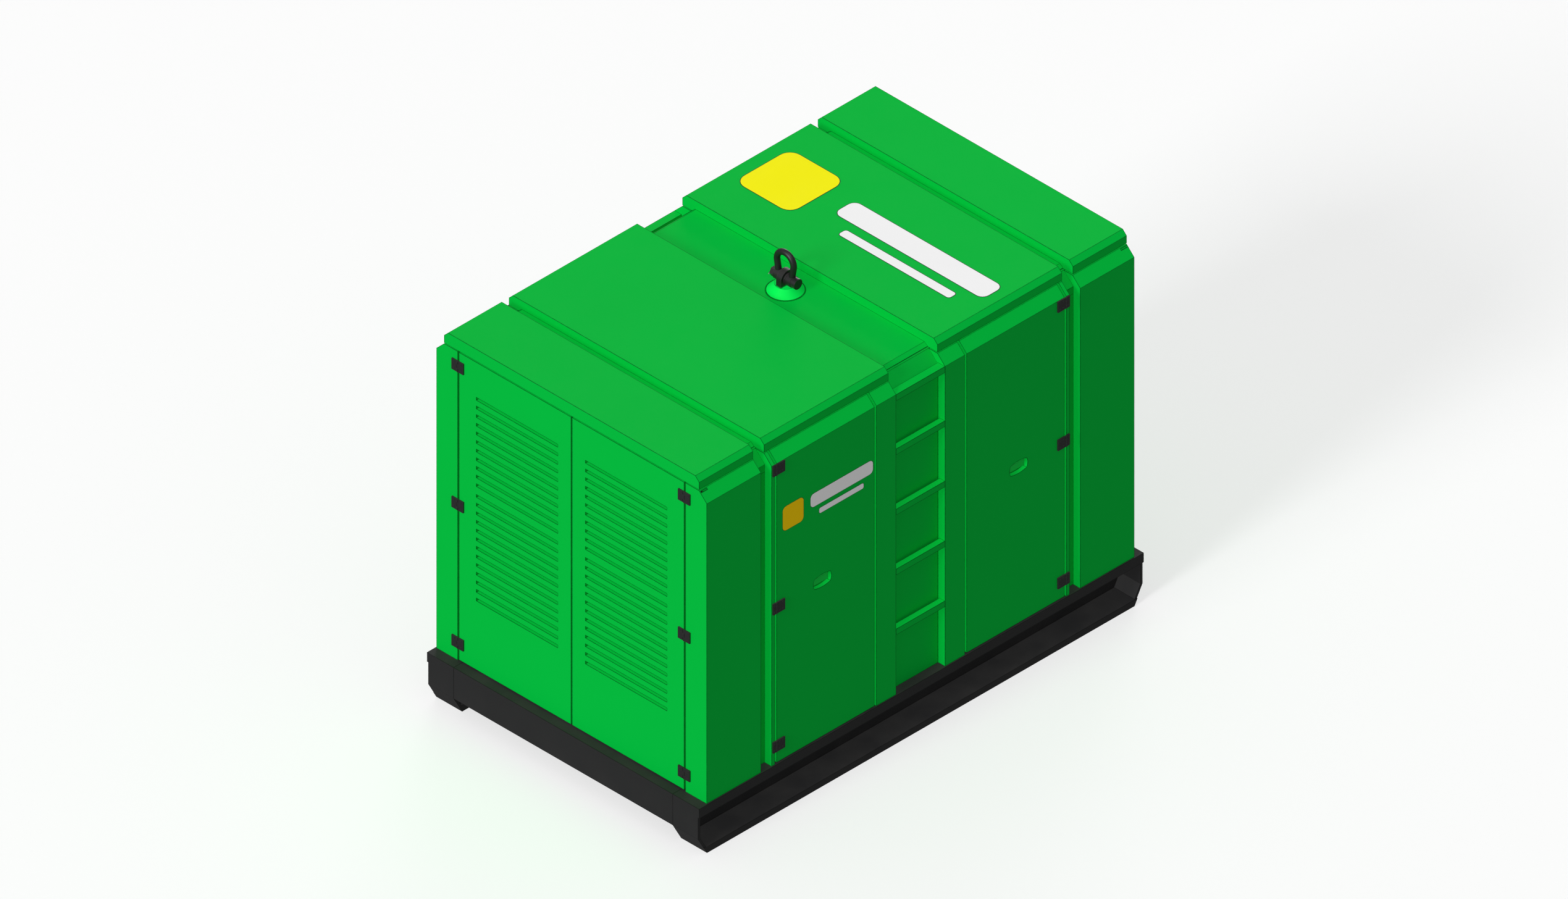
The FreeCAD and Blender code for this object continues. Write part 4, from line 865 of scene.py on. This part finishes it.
def head_details():
    """Cover gasket, cover screws, head bolts, oil cap and manifold flanges."""
    bm = bmesh.new()
    for low, high in (((-0.572, -0.113, head_top), (-0.008, -0.1102, 1.0135)),
                      ((-0.572, 0.1102, head_top), (-0.008, 0.113, 1.0135)),
                      ((-0.573, -0.080, head_top), (-0.5702, 0.080, 1.0135)),
                      ((-0.0098, -0.080, head_top), (-0.007, 0.080, 1.0135))):
        block(bm, low, high, 0.0008)
    finish_piece("rocker_cover_gasket", bm, "rubber_black")
    cover = [(x, y, cover_top) for x in (-0.540, -0.400, -0.180, -0.050) for y in (-0.090, 0.090)]
    screws("rocker_cover_screws", cover, (0.0085, 0.007), UPWARDS, washer=1.5)
    bolts = [(x + 0.070, y, head_top) for x in [-0.645] + cylinders[:-1] + [-0.100] for y in (-0.133, 0.133)]
    screws("head_bolts", bolts, (0.0105, 0.010), UPWARDS, slot="shaft_steel")
    bm = bmesh.new()
    turned(bm, [(0.026, 0), (0.026, 0.008), (0.034, 0.010), (0.036, 0.014), (0.036, 0.026), (0.033, 0.030),
                (0.012, 0.031)], (-0.110, 0.040, cover_top), (0, 0, 1), 24)
    for _, dx, dy in circle(0.036, 12):
        turned(bm, [(0.0035, 0), (0.0035, 0.016)], (-0.110 + dx, 0.040 + dy, cover_top + 0.011),
               (0, 0, 1), 8)
    finish_piece("oil_filler_cap", bm, "lever_black")
    bm = bmesh.new()
    for x in cylinders:
        block(bm, (x - 0.038, 0.1502, 0.928), (x + 0.038, 0.158, 0.992), 0.003)
    finish_piece("manifold_flanges", bm, "exhaust_steel")
    nuts = [(x + dx, 0.158, z) for x in cylinders for dx, z in ((-0.030, 0.985), (0.030, 0.935))]
    screws("manifold_nuts", nuts, (0.0065, 0.007), ALONG_Y, material=brass)


def block_details():
    """Core plugs, sump bolts and drain, dipstick and the front cover bolts."""
    bm = bmesh.new()
    for x in (-0.565, -0.415, -0.225, -0.075):
        turned(bm, [(0.024, -0.003), (0.024, 0.0012), (0.019, 0.0012), (0.017, -0.001)],
               (x, 0.190, 0.700), (0, 1, 0), 24)
    finish_piece("core_plugs", bm, "neck_steel")
    sump_low, sump_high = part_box("oil_sump")
    flange = sump_high.z - 0.008
    rim = [(sump_low.x + 0.020 + 0.062 * k, y, flange) for k in range(9)
           for y in (sump_low.y + 0.010, sump_high.y - 0.010)]
    screws("sump_bolts", rim, (0.006, 0.005), DOWNWARDS)
    bm = bmesh.new()
    turned(bm, [(0.016, 0), (0.016, 0.004), (0.011, 0.005), (0.011, 0.014)], (-0.120, -0.060, sump_low.z),
           (0, 0, -1), 6)
    finish_piece("sump_drain_plug", bm, "neck_steel", brass)
    bm = bmesh.new()
    pipe(bm, [(-0.180, -0.192, 0.520), (-0.180, -0.215, 0.560), (-0.190, -0.222, 0.680),
              (-0.200, -0.218, 0.830), (-0.200, -0.214, 0.890)], 0.0055)
    finish_piece("dipstick_tube", bm, "neck_steel")
    hoops("dipstick_ring", [(-0.200, -0.214, 0.907)], 0.013, 0.0028, ALONG_X, material=door_yellow)
    front = [(-0.600, y, z) for y in (-0.165, 0.165) for z in (0.520, 0.620, 0.720, 0.820)]
    screws("timing_cover_bolts", front, (0.0075, 0.006), ALONG_MINUS_X, washer=1.35)
    bell = [(0.020, y, crank_z + up) for _, y, up in circle(0.226, 14, 0.5)
            if abs(y) > 0.2 and crank_z + up > 0.56]
    screws("bell_bolts", bell, (0.009, 0.008), ALONG_MINUS_X)


def filters_and_starter():
    """Ribbed ends on the filters; studs and caps on the starter."""
    low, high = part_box("engine_filters")
    y = low.y + 0.040
    bands = [(x, y, low.z + rise) for x in (-0.450, -0.310) for rise in (0.018, 0.120, 0.132)]
    hoops("filter_can_ribs", bands, 0.0402, 0.0022, UPWARDS, slot="filter_black", material=filter_white)
    bm = bmesh.new()
    for x in (-0.450, -0.310):
        band(bm, 0.0401, 0.0006, 0.078, (x, y, low.z + 0.030), (0, 0, 1), 40)
    finish_piece("filter_wraps", bm, "filter_black", filter_white)
    low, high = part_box("starter_motor")
    bm = bmesh.new()
    z = low.z + 0.045 + 0.045 + 0.008
    for dz in (-0.010, 0.010):
        turned(bm, [(0.004, 0), (0.004, 0.018), (0.007, 0.018), (0.007, 0.023), (0.004, 0.024),
                    (0.004, 0.028)], (high.x - 0.090, -0.268, z + dz), (-1, 0, 0), 10)
    finish_piece("starter_studs", bm, "neck_steel", brass)
    hoops("starter_bands", [(low.x + 0.022, -0.248, 0.560)], 0.0455, 0.002, ALONG_X)


def cooling_details():
    """Fins, tubes, tank seams, cap, hoses and clamps of the radiator."""
    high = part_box("radiator")[1]
    face = -0.8605
    count = 96
    fins = [(face, 0, 0.392 + (1.378 - 0.392) * k / (count - 1)) for k in range(count)]
    grow("radiator_fins", BARS, fins, "radiator_black", fin_aluminium, Size=(0.003, 0.945, 0.0014),
         Turn=UPWARDS)
    tubes = [(face - 0.001, -0.465 + 0.93 * k / 30, 0.885) for k in range(31)]
    grow("radiator_tubes", BARS, tubes, "radiator_black", Size=(0.004, 0.0035, 0.990), Turn=UPWARDS)
    seam = [(x, -0.45 + 0.1 * k, z) for k in range(10) for x, z in ((-0.865, 1.400), (-0.865, 0.370))]
    screws("radiator_seam_bolts", seam, (0.006, 0.005), ALONG_MINUS_X)
    bm = bmesh.new()
    turned(bm, [(0.020, 0), (0.020, 0.010), (0.030, 0.012), (0.031, 0.024), (0.026, 0.030), (0.008, 0.031)],
           (-0.825, -0.340, high.z), (0, 0, 1), 24)
    block(bm, (-0.860, -0.346, high.z + 0.012), (-0.790, -0.334, high.z + 0.022), 0.003)
    finish_piece("radiator_cap", bm, "neck_steel")
    bm = bmesh.new()
    pipe(bm, [(-0.786, -0.300, 1.410), (-0.745, -0.300, 1.410), (-0.690, -0.298, 1.404),
              (-0.655, -0.280, 1.330), (-0.640, -0.230, 1.200), (-0.640, -0.160, 1.060),
              (-0.630, -0.125, 0.975), (-0.600, -0.120, 0.965), (-0.586, -0.120, 0.965)], 0.024, 4)
    pipe(bm, [(-0.786, 0.330, 0.360), (-0.740, 0.330, 0.360), (-0.690, 0.325, 0.365),
              (-0.660, 0.280, 0.410), (-0.650, 0.210, 0.490), (-0.640, 0.170, 0.545),
              (-0.615, 0.165, 0.550), (-0.601, 0.165, 0.550)], 0.024, 4)
    finish_piece("coolant_hoses", bm, "rubber_black")
    hoops("hose_clamps", [(-0.770, -0.300, 1.410), (-0.770, 0.330, 0.360), (-0.598, -0.120, 0.965),
                          (-0.612, 0.165, 0.550)], 0.0248, 0.0024, ALONG_X)


def exhaust_details():
    """Bellows in the riser, end seams and strap bands on the silencer."""
    x = -0.300
    y = 0.200
    rings = [(x, y, 1.060 + 0.0075 * k) for k in range(26)]
    hoops("exhaust_bellows", rings, 0.0375, 0.0036, UPWARDS, slot="exhaust_steel")
    can_x = -1.030
    can_z = 1.480
    strap_y = 0.270
    half = 0.014
    seams = [(can_x, s * d, can_z) for s in (-1, 1) for d in (0.424, 0.432)]
    hoops("silencer_seams", seams, 0.1102, 0.0022, ALONG_Y, slot="exhaust_steel")
    bm = bmesh.new()
    for s in (-1, 1):
        band(bm, 0.1101, 0.0022, 0.028, (can_x, s * strap_y - half, can_z), (0, 1, 0), 48)
        block(bm, (can_x - half, s * strap_y - half, can_z - 0.142),
              (can_x + half, s * strap_y + half, can_z - 0.110), 0.003)
    finish_piece("silencer_bands", bm, "neck_steel")
    bm = bmesh.new()
    band(bm, 0.0352, 0.012, 0.010, (x, y, 1.002), (0, 0, 1), 32)
    band(bm, 0.0352, 0.012, 0.010, (x, y, 1.266), (0, 0, 1), 32)
    finish_piece("exhaust_flanges", bm, "exhaust_steel")


# --- alternator, battery and fuel ---

def alternator_details():
    """Air vents, terminal box lid with screws, glands and frame ribs."""
    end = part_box("alternator_stator")[1].x
    bm = bmesh.new()
    for angle, y, up in circle(0.2302, 28):
        if math.sin(angle) < -0.35 or abs(math.cos(angle)) < 0.62 and math.sin(angle) > 0:
            continue
        z = crank_z + up
        block(bm, (0.150, y - 0.004, z - 0.006), (0.560, y + 0.004, z + 0.006), 0.0015,
              Matrix.Rotation(angle, 4, "X"))
    finish_piece("stator_ribs", bm, "alternator_paint")
    x = end + 0.0006
    bm = bmesh.new()
    for angle, y, up in circle(0.165, 20):
        z = crank_z + up
        block(bm, (x - 0.0012, y - 0.034, z - 0.006), (x + 0.0008, y + 0.034, z + 0.006), 0.0004,
              Matrix.Rotation(angle, 4, "X"))
    finish_piece("alternator_vents", bm, "radiator_black")
    lid_z = crank_z + 0.230 + 0.120
    bm = bmesh.new()
    block(bm, (0.243, -0.127, lid_z), (0.557, 0.127, lid_z + 0.004), 0.0015)
    block(bm, (0.300, -0.1345, lid_z - 0.110), (0.500, -0.1302, lid_z - 0.030), 0.0015)
    finish_piece("terminal_box_lid", bm, "alternator_paint")
    lid_screws = [(x, y, lid_z + 0.004) for x in (0.255, 0.400, 0.545) for y in (-0.115, 0.115)]
    screws("terminal_box_screws", lid_screws, (0.005, 0.004), UPWARDS, washer=1.5)
    bm = bmesh.new()
    for z in (lid_z - 0.045, lid_z - 0.085):
        for y in (-0.070, 0.0, 0.070):
            turned(bm, [(0.022, 0), (0.022, 0.010), (0.018, 0.011), (0.018, 0.022), (0.013, 0.030)],
                   (0.560, y, z), (1, 0, 0), 6 if z > lid_z - 0.06 else 8)
    finish_piece("cable_glands", bm, "lever_black")
    bm = bmesh.new()
    for y in (-0.070, 0.0, 0.070):
        pipe(bm, [(0.575, y, lid_z - 0.045), (0.640, y, lid_z - 0.045), (0.720, y, lid_z - 0.020),
                  (0.800, y * 1.2, lid_z + 0.010), (0.880, y * 1.4, lid_z + 0.010),
                  (0.945, y * 1.5, lid_z)], 0.0105, 3)
    finish_piece("output_cables", bm, "rubber_black")
    feet = [(x + dx, y, 0.403) for x in (-0.450, 0.070, 0.560) for dx in (-0.028, 0.028)
            for y in (-0.300, 0.300)]
    screws("mount_bolts", feet, (0.0105, 0.009), UPWARDS, washer=1.5)


def battery_details():
    """Lid seam, vent caps, clamp bar, terminal clamps and the two leads."""
    low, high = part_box("battery")
    top = high.z - 0.016
    middle = (low.y + high.y) / 2
    bm = bmesh.new()
    for one, two in (((low.x - 0.002, low.y - 0.002, top - 0.034), (high.x + 0.002, low.y, top - 0.026)),
                     ((low.x - 0.002, high.y, top - 0.034), (high.x + 0.002, high.y + 0.002, top - 0.026)),
                     ((low.x - 0.002, low.y, top - 0.034), (low.x, high.y, top - 0.026)),
                     ((high.x, low.y, top - 0.034), (high.x + 0.002, high.y, top - 0.026))):
        block(bm, one, two, 0.0008)
    for k in range(6):
        turned(bm, [(0.011, 0), (0.011, 0.006), (0.008, 0.008)],
               (low.x + 0.045 + 0.036 * k, middle - 0.050, top), (0, 0, 1), 16)
    finish_piece("battery_lid_seam", bm, "tank_plastic")
    bm = bmesh.new()
    centre = (low.x + high.x) / 2
    block(bm, (centre - 0.012, low.y - 0.008, top), (centre + 0.012, high.y + 0.008, top + 0.005), 0.0015)
    for y in (low.y - 0.006, high.y + 0.006):
        turned(bm, [(0.004, 0), (0.004, top - floor_z + 0.014)], (centre, y, floor_z), (0, 0, 1), 10)
    finish_piece("battery_clamp", bm, "neck_steel")
    bm = bmesh.new()
    for dx in (-0.090, 0.090):
        band(bm, 0.0093, 0.005, 0.012, (centre + dx, middle, top + 0.001), (0, 0, 1), 20)
        block(bm, (centre + dx - 0.005, middle + 0.012, top + 0.002),
              (centre + dx + 0.005, middle + 0.030, top + 0.012), 0.0015)
    finish_piece("battery_terminals", bm, "neck_steel", brass)
    start = middle + 0.028
    for label, dx, sheath, target in (("red", -0.090, red_sheath, (-0.092, -0.268, 0.668)),
                                      ("black", 0.090, rubber, (-0.060, -0.196, 0.480))):
        bm = bmesh.new()
        x = centre + dx
        drop = 0.0 if label == "red" else 0.018
        pipe(bm, [(x, start, top + 0.007), (x, start + 0.030, top + 0.012),
                  (x - 0.010, start + 0.060, top - 0.020), (x - 0.030, start + 0.070, 0.330),
                  (x - 0.070, start + 0.072, 0.254), (0.420, -0.385 - drop, 0.250),
                  (0.200, -0.385 - drop, 0.250), (0.020, -0.385 - drop, 0.252),
                  (-0.080, -0.380 - drop, 0.300), (-0.120, -0.350, 0.420),
                  (-0.130, target[1] - 0.03, target[2] - 0.060),
                  (target[0] - 0.020, target[1], target[2] - 0.006), target], 0.0075, 3)
        finish_piece("battery_lead_" + label, bm, "rubber_black", sheath)


def fuel_details():
    """Level sender on the floor, tank drain, tank straps and the filler cap's grip."""
    low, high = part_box("fuel_tank")
    bm = bmesh.new()
    turned(bm, [(0.045, 0), (0.045, 0.004), (0.030, 0.006), (0.028, 0.020), (0.024, 0.022)],
           (0.250, -0.470, floor_z), (0, 0, 1), 28)
    finish_piece("level_sender", bm, "neck_steel")
    ring = [(0.250 + dx, -0.470 + dy, floor_z + 0.004) for _, dx, dy in circle(0.037, 6)]
    screws("level_sender_screws", ring, (0.0035, 0.003), UPWARDS)
    bm = bmesh.new()
    turned(bm, [(0.020, 0), (0.020, 0.005), (0.014, 0.006), (0.014, 0.018)], (0.320, 0.300, low.z),
           (0, 0, -1), 6)
    finish_piece("tank_drain_plug", bm, "neck_steel", brass)
    bm = bmesh.new()
    for x in (-0.150, 0.250):
        block(bm, (x - 0.020, low.y - 0.004, low.z - 0.003), (x + 0.020, high.y + 0.004, low.z), 0.001)
        for y in (low.y - 0.004, high.y):
            block(bm, (x - 0.020, y, low.z - 0.003), (x + 0.020, y + 0.004, high.z + 0.004), 0.001)
    finish_piece("tank_straps", bm, "neck_steel")
    cap_low, cap_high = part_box("fuel_cap")
    x = (cap_low.x + cap_high.x) / 2
    y = (cap_low.y + cap_high.y) / 2
    bm = bmesh.new()
    turned(bm, [(0.034, 0), (0.034, 0.0025), (0.022, 0.004), (0.020, 0.0045)], (x, y, cap_high.z),
           (0, 0, 1), 32)
    block(bm, (x - 0.026, y - 0.005, cap_high.z + 0.003), (x + 0.026, y + 0.005, cap_high.z + 0.015), 0.003)
    finish_piece("fuel_cap_grip", bm, "lever_black", body="filler_cap")


# --- control cabinet ---

def control_face():
    """Controller, meters, lamps, key, sockets and panel lines, without any text."""
    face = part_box("control_cabinet")[0].x + 0.210
    meter_z = 1.150
    lamp_z = 1.325
    stop_y = -0.200

    def plate(name, y0, y1, z0, z1, depth, slot, edge=0.002):
        bm = bmesh.new()
        block(bm, (face, y0, z0), (face + depth, y1, z1), edge)
        finish_piece(name, bm, slot)

    plate("controller_bezel", 0.060, 0.340, 1.240, 1.420, 0.012, "lever_black", 0.004)
    bm = bmesh.new()
    block(bm, (face + 0.0115, 0.090, 1.315), (face + 0.0135, 0.310, 1.402), 0.0008)
    finish_piece("controller_display", bm, "lever_black", screen_glass)
    bm = bmesh.new()
    for k in range(7):
        block(bm, (face + 0.0115, 0.088 + 0.033 * k, 1.262), (face + 0.0150, 0.110 + 0.033 * k, 1.284),
              0.0015)
    finish_piece("controller_buttons", bm, "cabinet_grey")
    rims = bmesh.new()
    dials = bmesh.new()
    needles = bmesh.new()
    for y in (-0.330, -0.190, -0.050):
        turned(rims, [(0.044, 0), (0.044, 0.010), (0.038, 0.013), (0.038, 0.008)], (face, y, meter_z),
               (1, 0, 0), 36)
        turned(dials, [(0.0375, 0.0), (0.0375, 0.0015)], (face + 0.009, y, meter_z), (1, 0, 0), 36)
        block(needles, (face + 0.0105, y - 0.0010, 1.148), (face + 0.0115, y + 0.0010, 1.180), 0.0003,
              Matrix.Rotation(math.radians(35), 4, "X"))
        for k in range(9):
            angle = math.radians(-30 + 30 * k)
            tick_y = y + 0.031 * math.cos(angle)
            tick_z = meter_z + 0.031 * math.sin(angle)
            block(needles, (face + 0.0105, tick_y - 0.003, tick_z - 0.0006),
                  (face + 0.0112, tick_y + 0.003, tick_z + 0.0006), 0.0, Matrix.Rotation(angle, 4, "X"))
    finish_piece("meter_rims", rims, "lever_black")
    finish_piece("meter_dials", dials, "cabinet_grey", white_film)
    finish_piece("meter_needles", needles, "lever_black")
    for label, y, lens in (("green", -0.330, green_lens), ("amber", -0.270, amber_lens),
                           ("red", -0.080, red_plastic)):
        bm = bmesh.new()
        turned(bm, [(0.015, 0), (0.015, 0.004), (0.011, 0.006), (0.011, 0.012), (0.008, 0.016),
                    (0.003, 0.0175)], (face, y, lamp_z), (1, 0, 0), 24)
        finish_piece("lamp_" + label, bm, "lever_black", lens)
    bm = bmesh.new()
    turned(bm, [(0.034, 0), (0.034, 0.0012), (0.030, 0.002)], (face, stop_y, lamp_z), (1, 0, 0), 40)
    finish_piece("stop_ring", bm, "cabinet_grey", door_yellow)
    bm = bmesh.new()
    turned(bm, [(0.016, 0), (0.016, 0.006), (0.010, 0.008), (0.010, 0.012)], (face, -0.385, lamp_z),
           (1, 0, 0), 24)
    block(bm, (face + 0.011, -0.3865, 1.312), (face + 0.034, -0.3835, 1.338), 0.001)
    finish_piece("key_switch", bm, "neck_steel")
    plate("socket_plate", -0.410, 0.410, 0.520, 0.740, 0.004, "cabinet_grey")
    for k, (y, plastic) in enumerate(((-0.320, blue_plastic), (-0.110, red_plastic), (0.110, red_plastic),
                                      (0.320, red_plastic))):
        bm = bmesh.new()
        block(bm, (face + 0.003, y - 0.058, 0.560), (face + 0.014, y + 0.058, 0.700), 0.004)
        turned(bm, [(0.046, 0), (0.046, 0.014), (0.050, 0.016), (0.050, 0.026), (0.044, 0.029),
                    (0.020, 0.030)], (face + 0.010, y, 0.628), (0.96, 0, -0.28), 36)
        block(bm, (face + 0.012, y - 0.024, 0.676), (face + 0.030, y + 0.024, 0.688), 0.002)
        finish_piece("power_socket_%d" % (k + 1), bm, "lever_black", plastic)
        screws("socket_screws_%d" % (k + 1), [(face + 0.014, y + dy, z) for dy in (-0.049, 0.049)
                                              for z in (0.570, 0.690)], (0.0032, 0.0022), ALONG_X,
               washer=1.2, sides=12)
    plate("terminal_door", -0.400, 0.400, 0.270, 0.480, 0.003, "cabinet_grey")
    bm = bmesh.new()
    for y in (-0.375, 0.375):
        turned(bm, [(0.013, 0), (0.013, 0.004), (0.008, 0.005), (0.008, 0.012)], (face + 0.003, y, 0.375),
               (1, 0, 0), 20)
    finish_piece("terminal_door_locks", bm, "neck_steel")
    breakers = bmesh.new()
    toggles = bmesh.new()
    for k in range(6):
        y = -0.330 + 0.040 * k
        block(breakers, (face, y, 0.850), (face + 0.018, y + 0.036, 0.990), 0.002)
        block(toggles, (face + 0.017, y + 0.010, 0.906), (face + 0.030, y + 0.026, 0.930), 0.002)
    finish_piece("small_breakers", breakers, "cabinet_grey")
    finish_piece("small_breaker_toggles", toggles, "lever_black")
    edge_screws = [(face, y, z) for y in (-0.435, 0.435) for z in (0.300, 0.600, 0.900, 1.200, 1.460)]
    screws("cabinet_screws", edge_screws, (0.0055, 0.003), ALONG_X, washer=1.4, sides=16)
    bm = bmesh.new()
    turned(bm, [(0.0195, 0), (0.0195, 0.0008), (0.012, 0.0020), (0.003, 0.0024)],
           (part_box("emergency_stop")[1].x - 0.0006, stop_y, lamp_z), (1, 0, 0), 32)
    finish_piece("stop_button_face", bm, "button_red", body="emergency_stop")


# --- surroundings ---

def studio_floor():
    """Pale floor that throws only a little light back on the sides."""
    bm = bmesh.new()
    half = 60.0
    corners = [bm.verts.new(corner) for corner in ((-half, -half, -0.001), (half, -half, -0.001),
                                                   (half, half, -0.001), (-half, half, -0.001))]
    bm.faces.new(corners)
    mesh = bpy.data.meshes.new("floor")
    bm.to_mesh(mesh)
    bm.free()
    floor = bpy.data.objects.new("floor", mesh)
    bpy.context.scene.collection.objects.link(floor)
    material, tree, shader = finish_of("pale floor", specular=0.0)
    white = (1.0, 1.0, 1.0, 1)
    wire(tree, shader, Base_Color=white, Emission_Color=white, Emission_Strength=0.05, Roughness=1.0)
    dull = add(tree, "ShaderNodeBsdfDiffuse", Color=(0.22, 0.22, 0.22, 1))
    mix = add(tree, "ShaderNodeMixShader", Fac=add(tree, "ShaderNodeLightPath").outputs["Is Camera Ray"])
    tree.links.new(dull.outputs["BSDF"], mix.inputs[1])
    tree.links.new(shader.outputs["BSDF"], mix.inputs[2])
    wire(tree, tree.nodes["Material Output"], Surface=mix.outputs["Shader"])
    mesh.materials.append(material)


def lamp(name, towards, strength, spread, shadows=True):
    """Broad distant lamp; `towards` points from the object to the lamp."""
    light = bpy.data.lights.new(name, "SUN")
    light.energy = strength
    light.angle = math.radians(spread)
    light.use_shadow = shadows
    holder = bpy.data.objects.new(name, light)
    holder.rotation_euler = Vector(towards).to_track_quat("Z", "Y").to_euler()
    bpy.context.scene.collection.objects.link(holder)


def studio_light():
    """Even white sky, a key lamp with and without shadows, and weak fill lamps."""
    world = bpy.data.worlds.new("studio")
    bpy.context.scene.world = world
    world.use_nodes = True
    sky = world.node_tree.nodes["Background"]
    sky.inputs["Color"].default_value = (1.0, 1.0, 1.0, 1)
    sky.inputs["Strength"].default_value = 0.22
    lamp("key_lamp", (-0.88, -0.05, 0.47), 0.95, 18)
    lamp("flat_key_lamp", (-0.88, -0.05, 0.47), 1.70, 18, shadows=False)
    lamp("flat_top_lamp", (-0.10, -0.30, 0.95), 0.92, 18, shadows=False)
    lamp("rear_lamp", (0.80, 0.60, 0.05), 1.1, 30)
    bpy.context.scene.view_settings.view_transform = "Standard"


def studio_camera():
    """Parallel view from the front left, level lines at 30 degrees."""
    view = bpy.data.cameras.new("camera")
    view.type = "ORTHO"
    view.ortho_scale = 6.41
    view.clip_end = 200.0
    camera = bpy.data.objects.new("camera", view)
    rise = math.atan(1 / math.sqrt(2))
    aim = Vector((math.cos(rise) / math.sqrt(2), math.cos(rise) / math.sqrt(2), -math.sin(rise)))
    middle = Vector((-0.004, 0.004, 1.011))
    camera.location = middle - aim * 14.0
    camera.rotation_euler = aim.to_track_quat("-Z", "Y").to_euler()
    bpy.context.scene.collection.objects.link(camera)
    bpy.context.scene.camera = camera


studio_camera()
studio_floor()
studio_light()
paint_made_parts()
roof_markings()
door_markings()
hinge_screws()
door_seals()
door_foam()
louvre_blades()
cone_welds()
skid_welds()
shackle_safety_pin()
injection()
intake()
head_details()
block_details()
filters_and_starter()
cooling_details()
exhaust_details()
alternator_details()
battery_details()
fuel_details()
control_face()
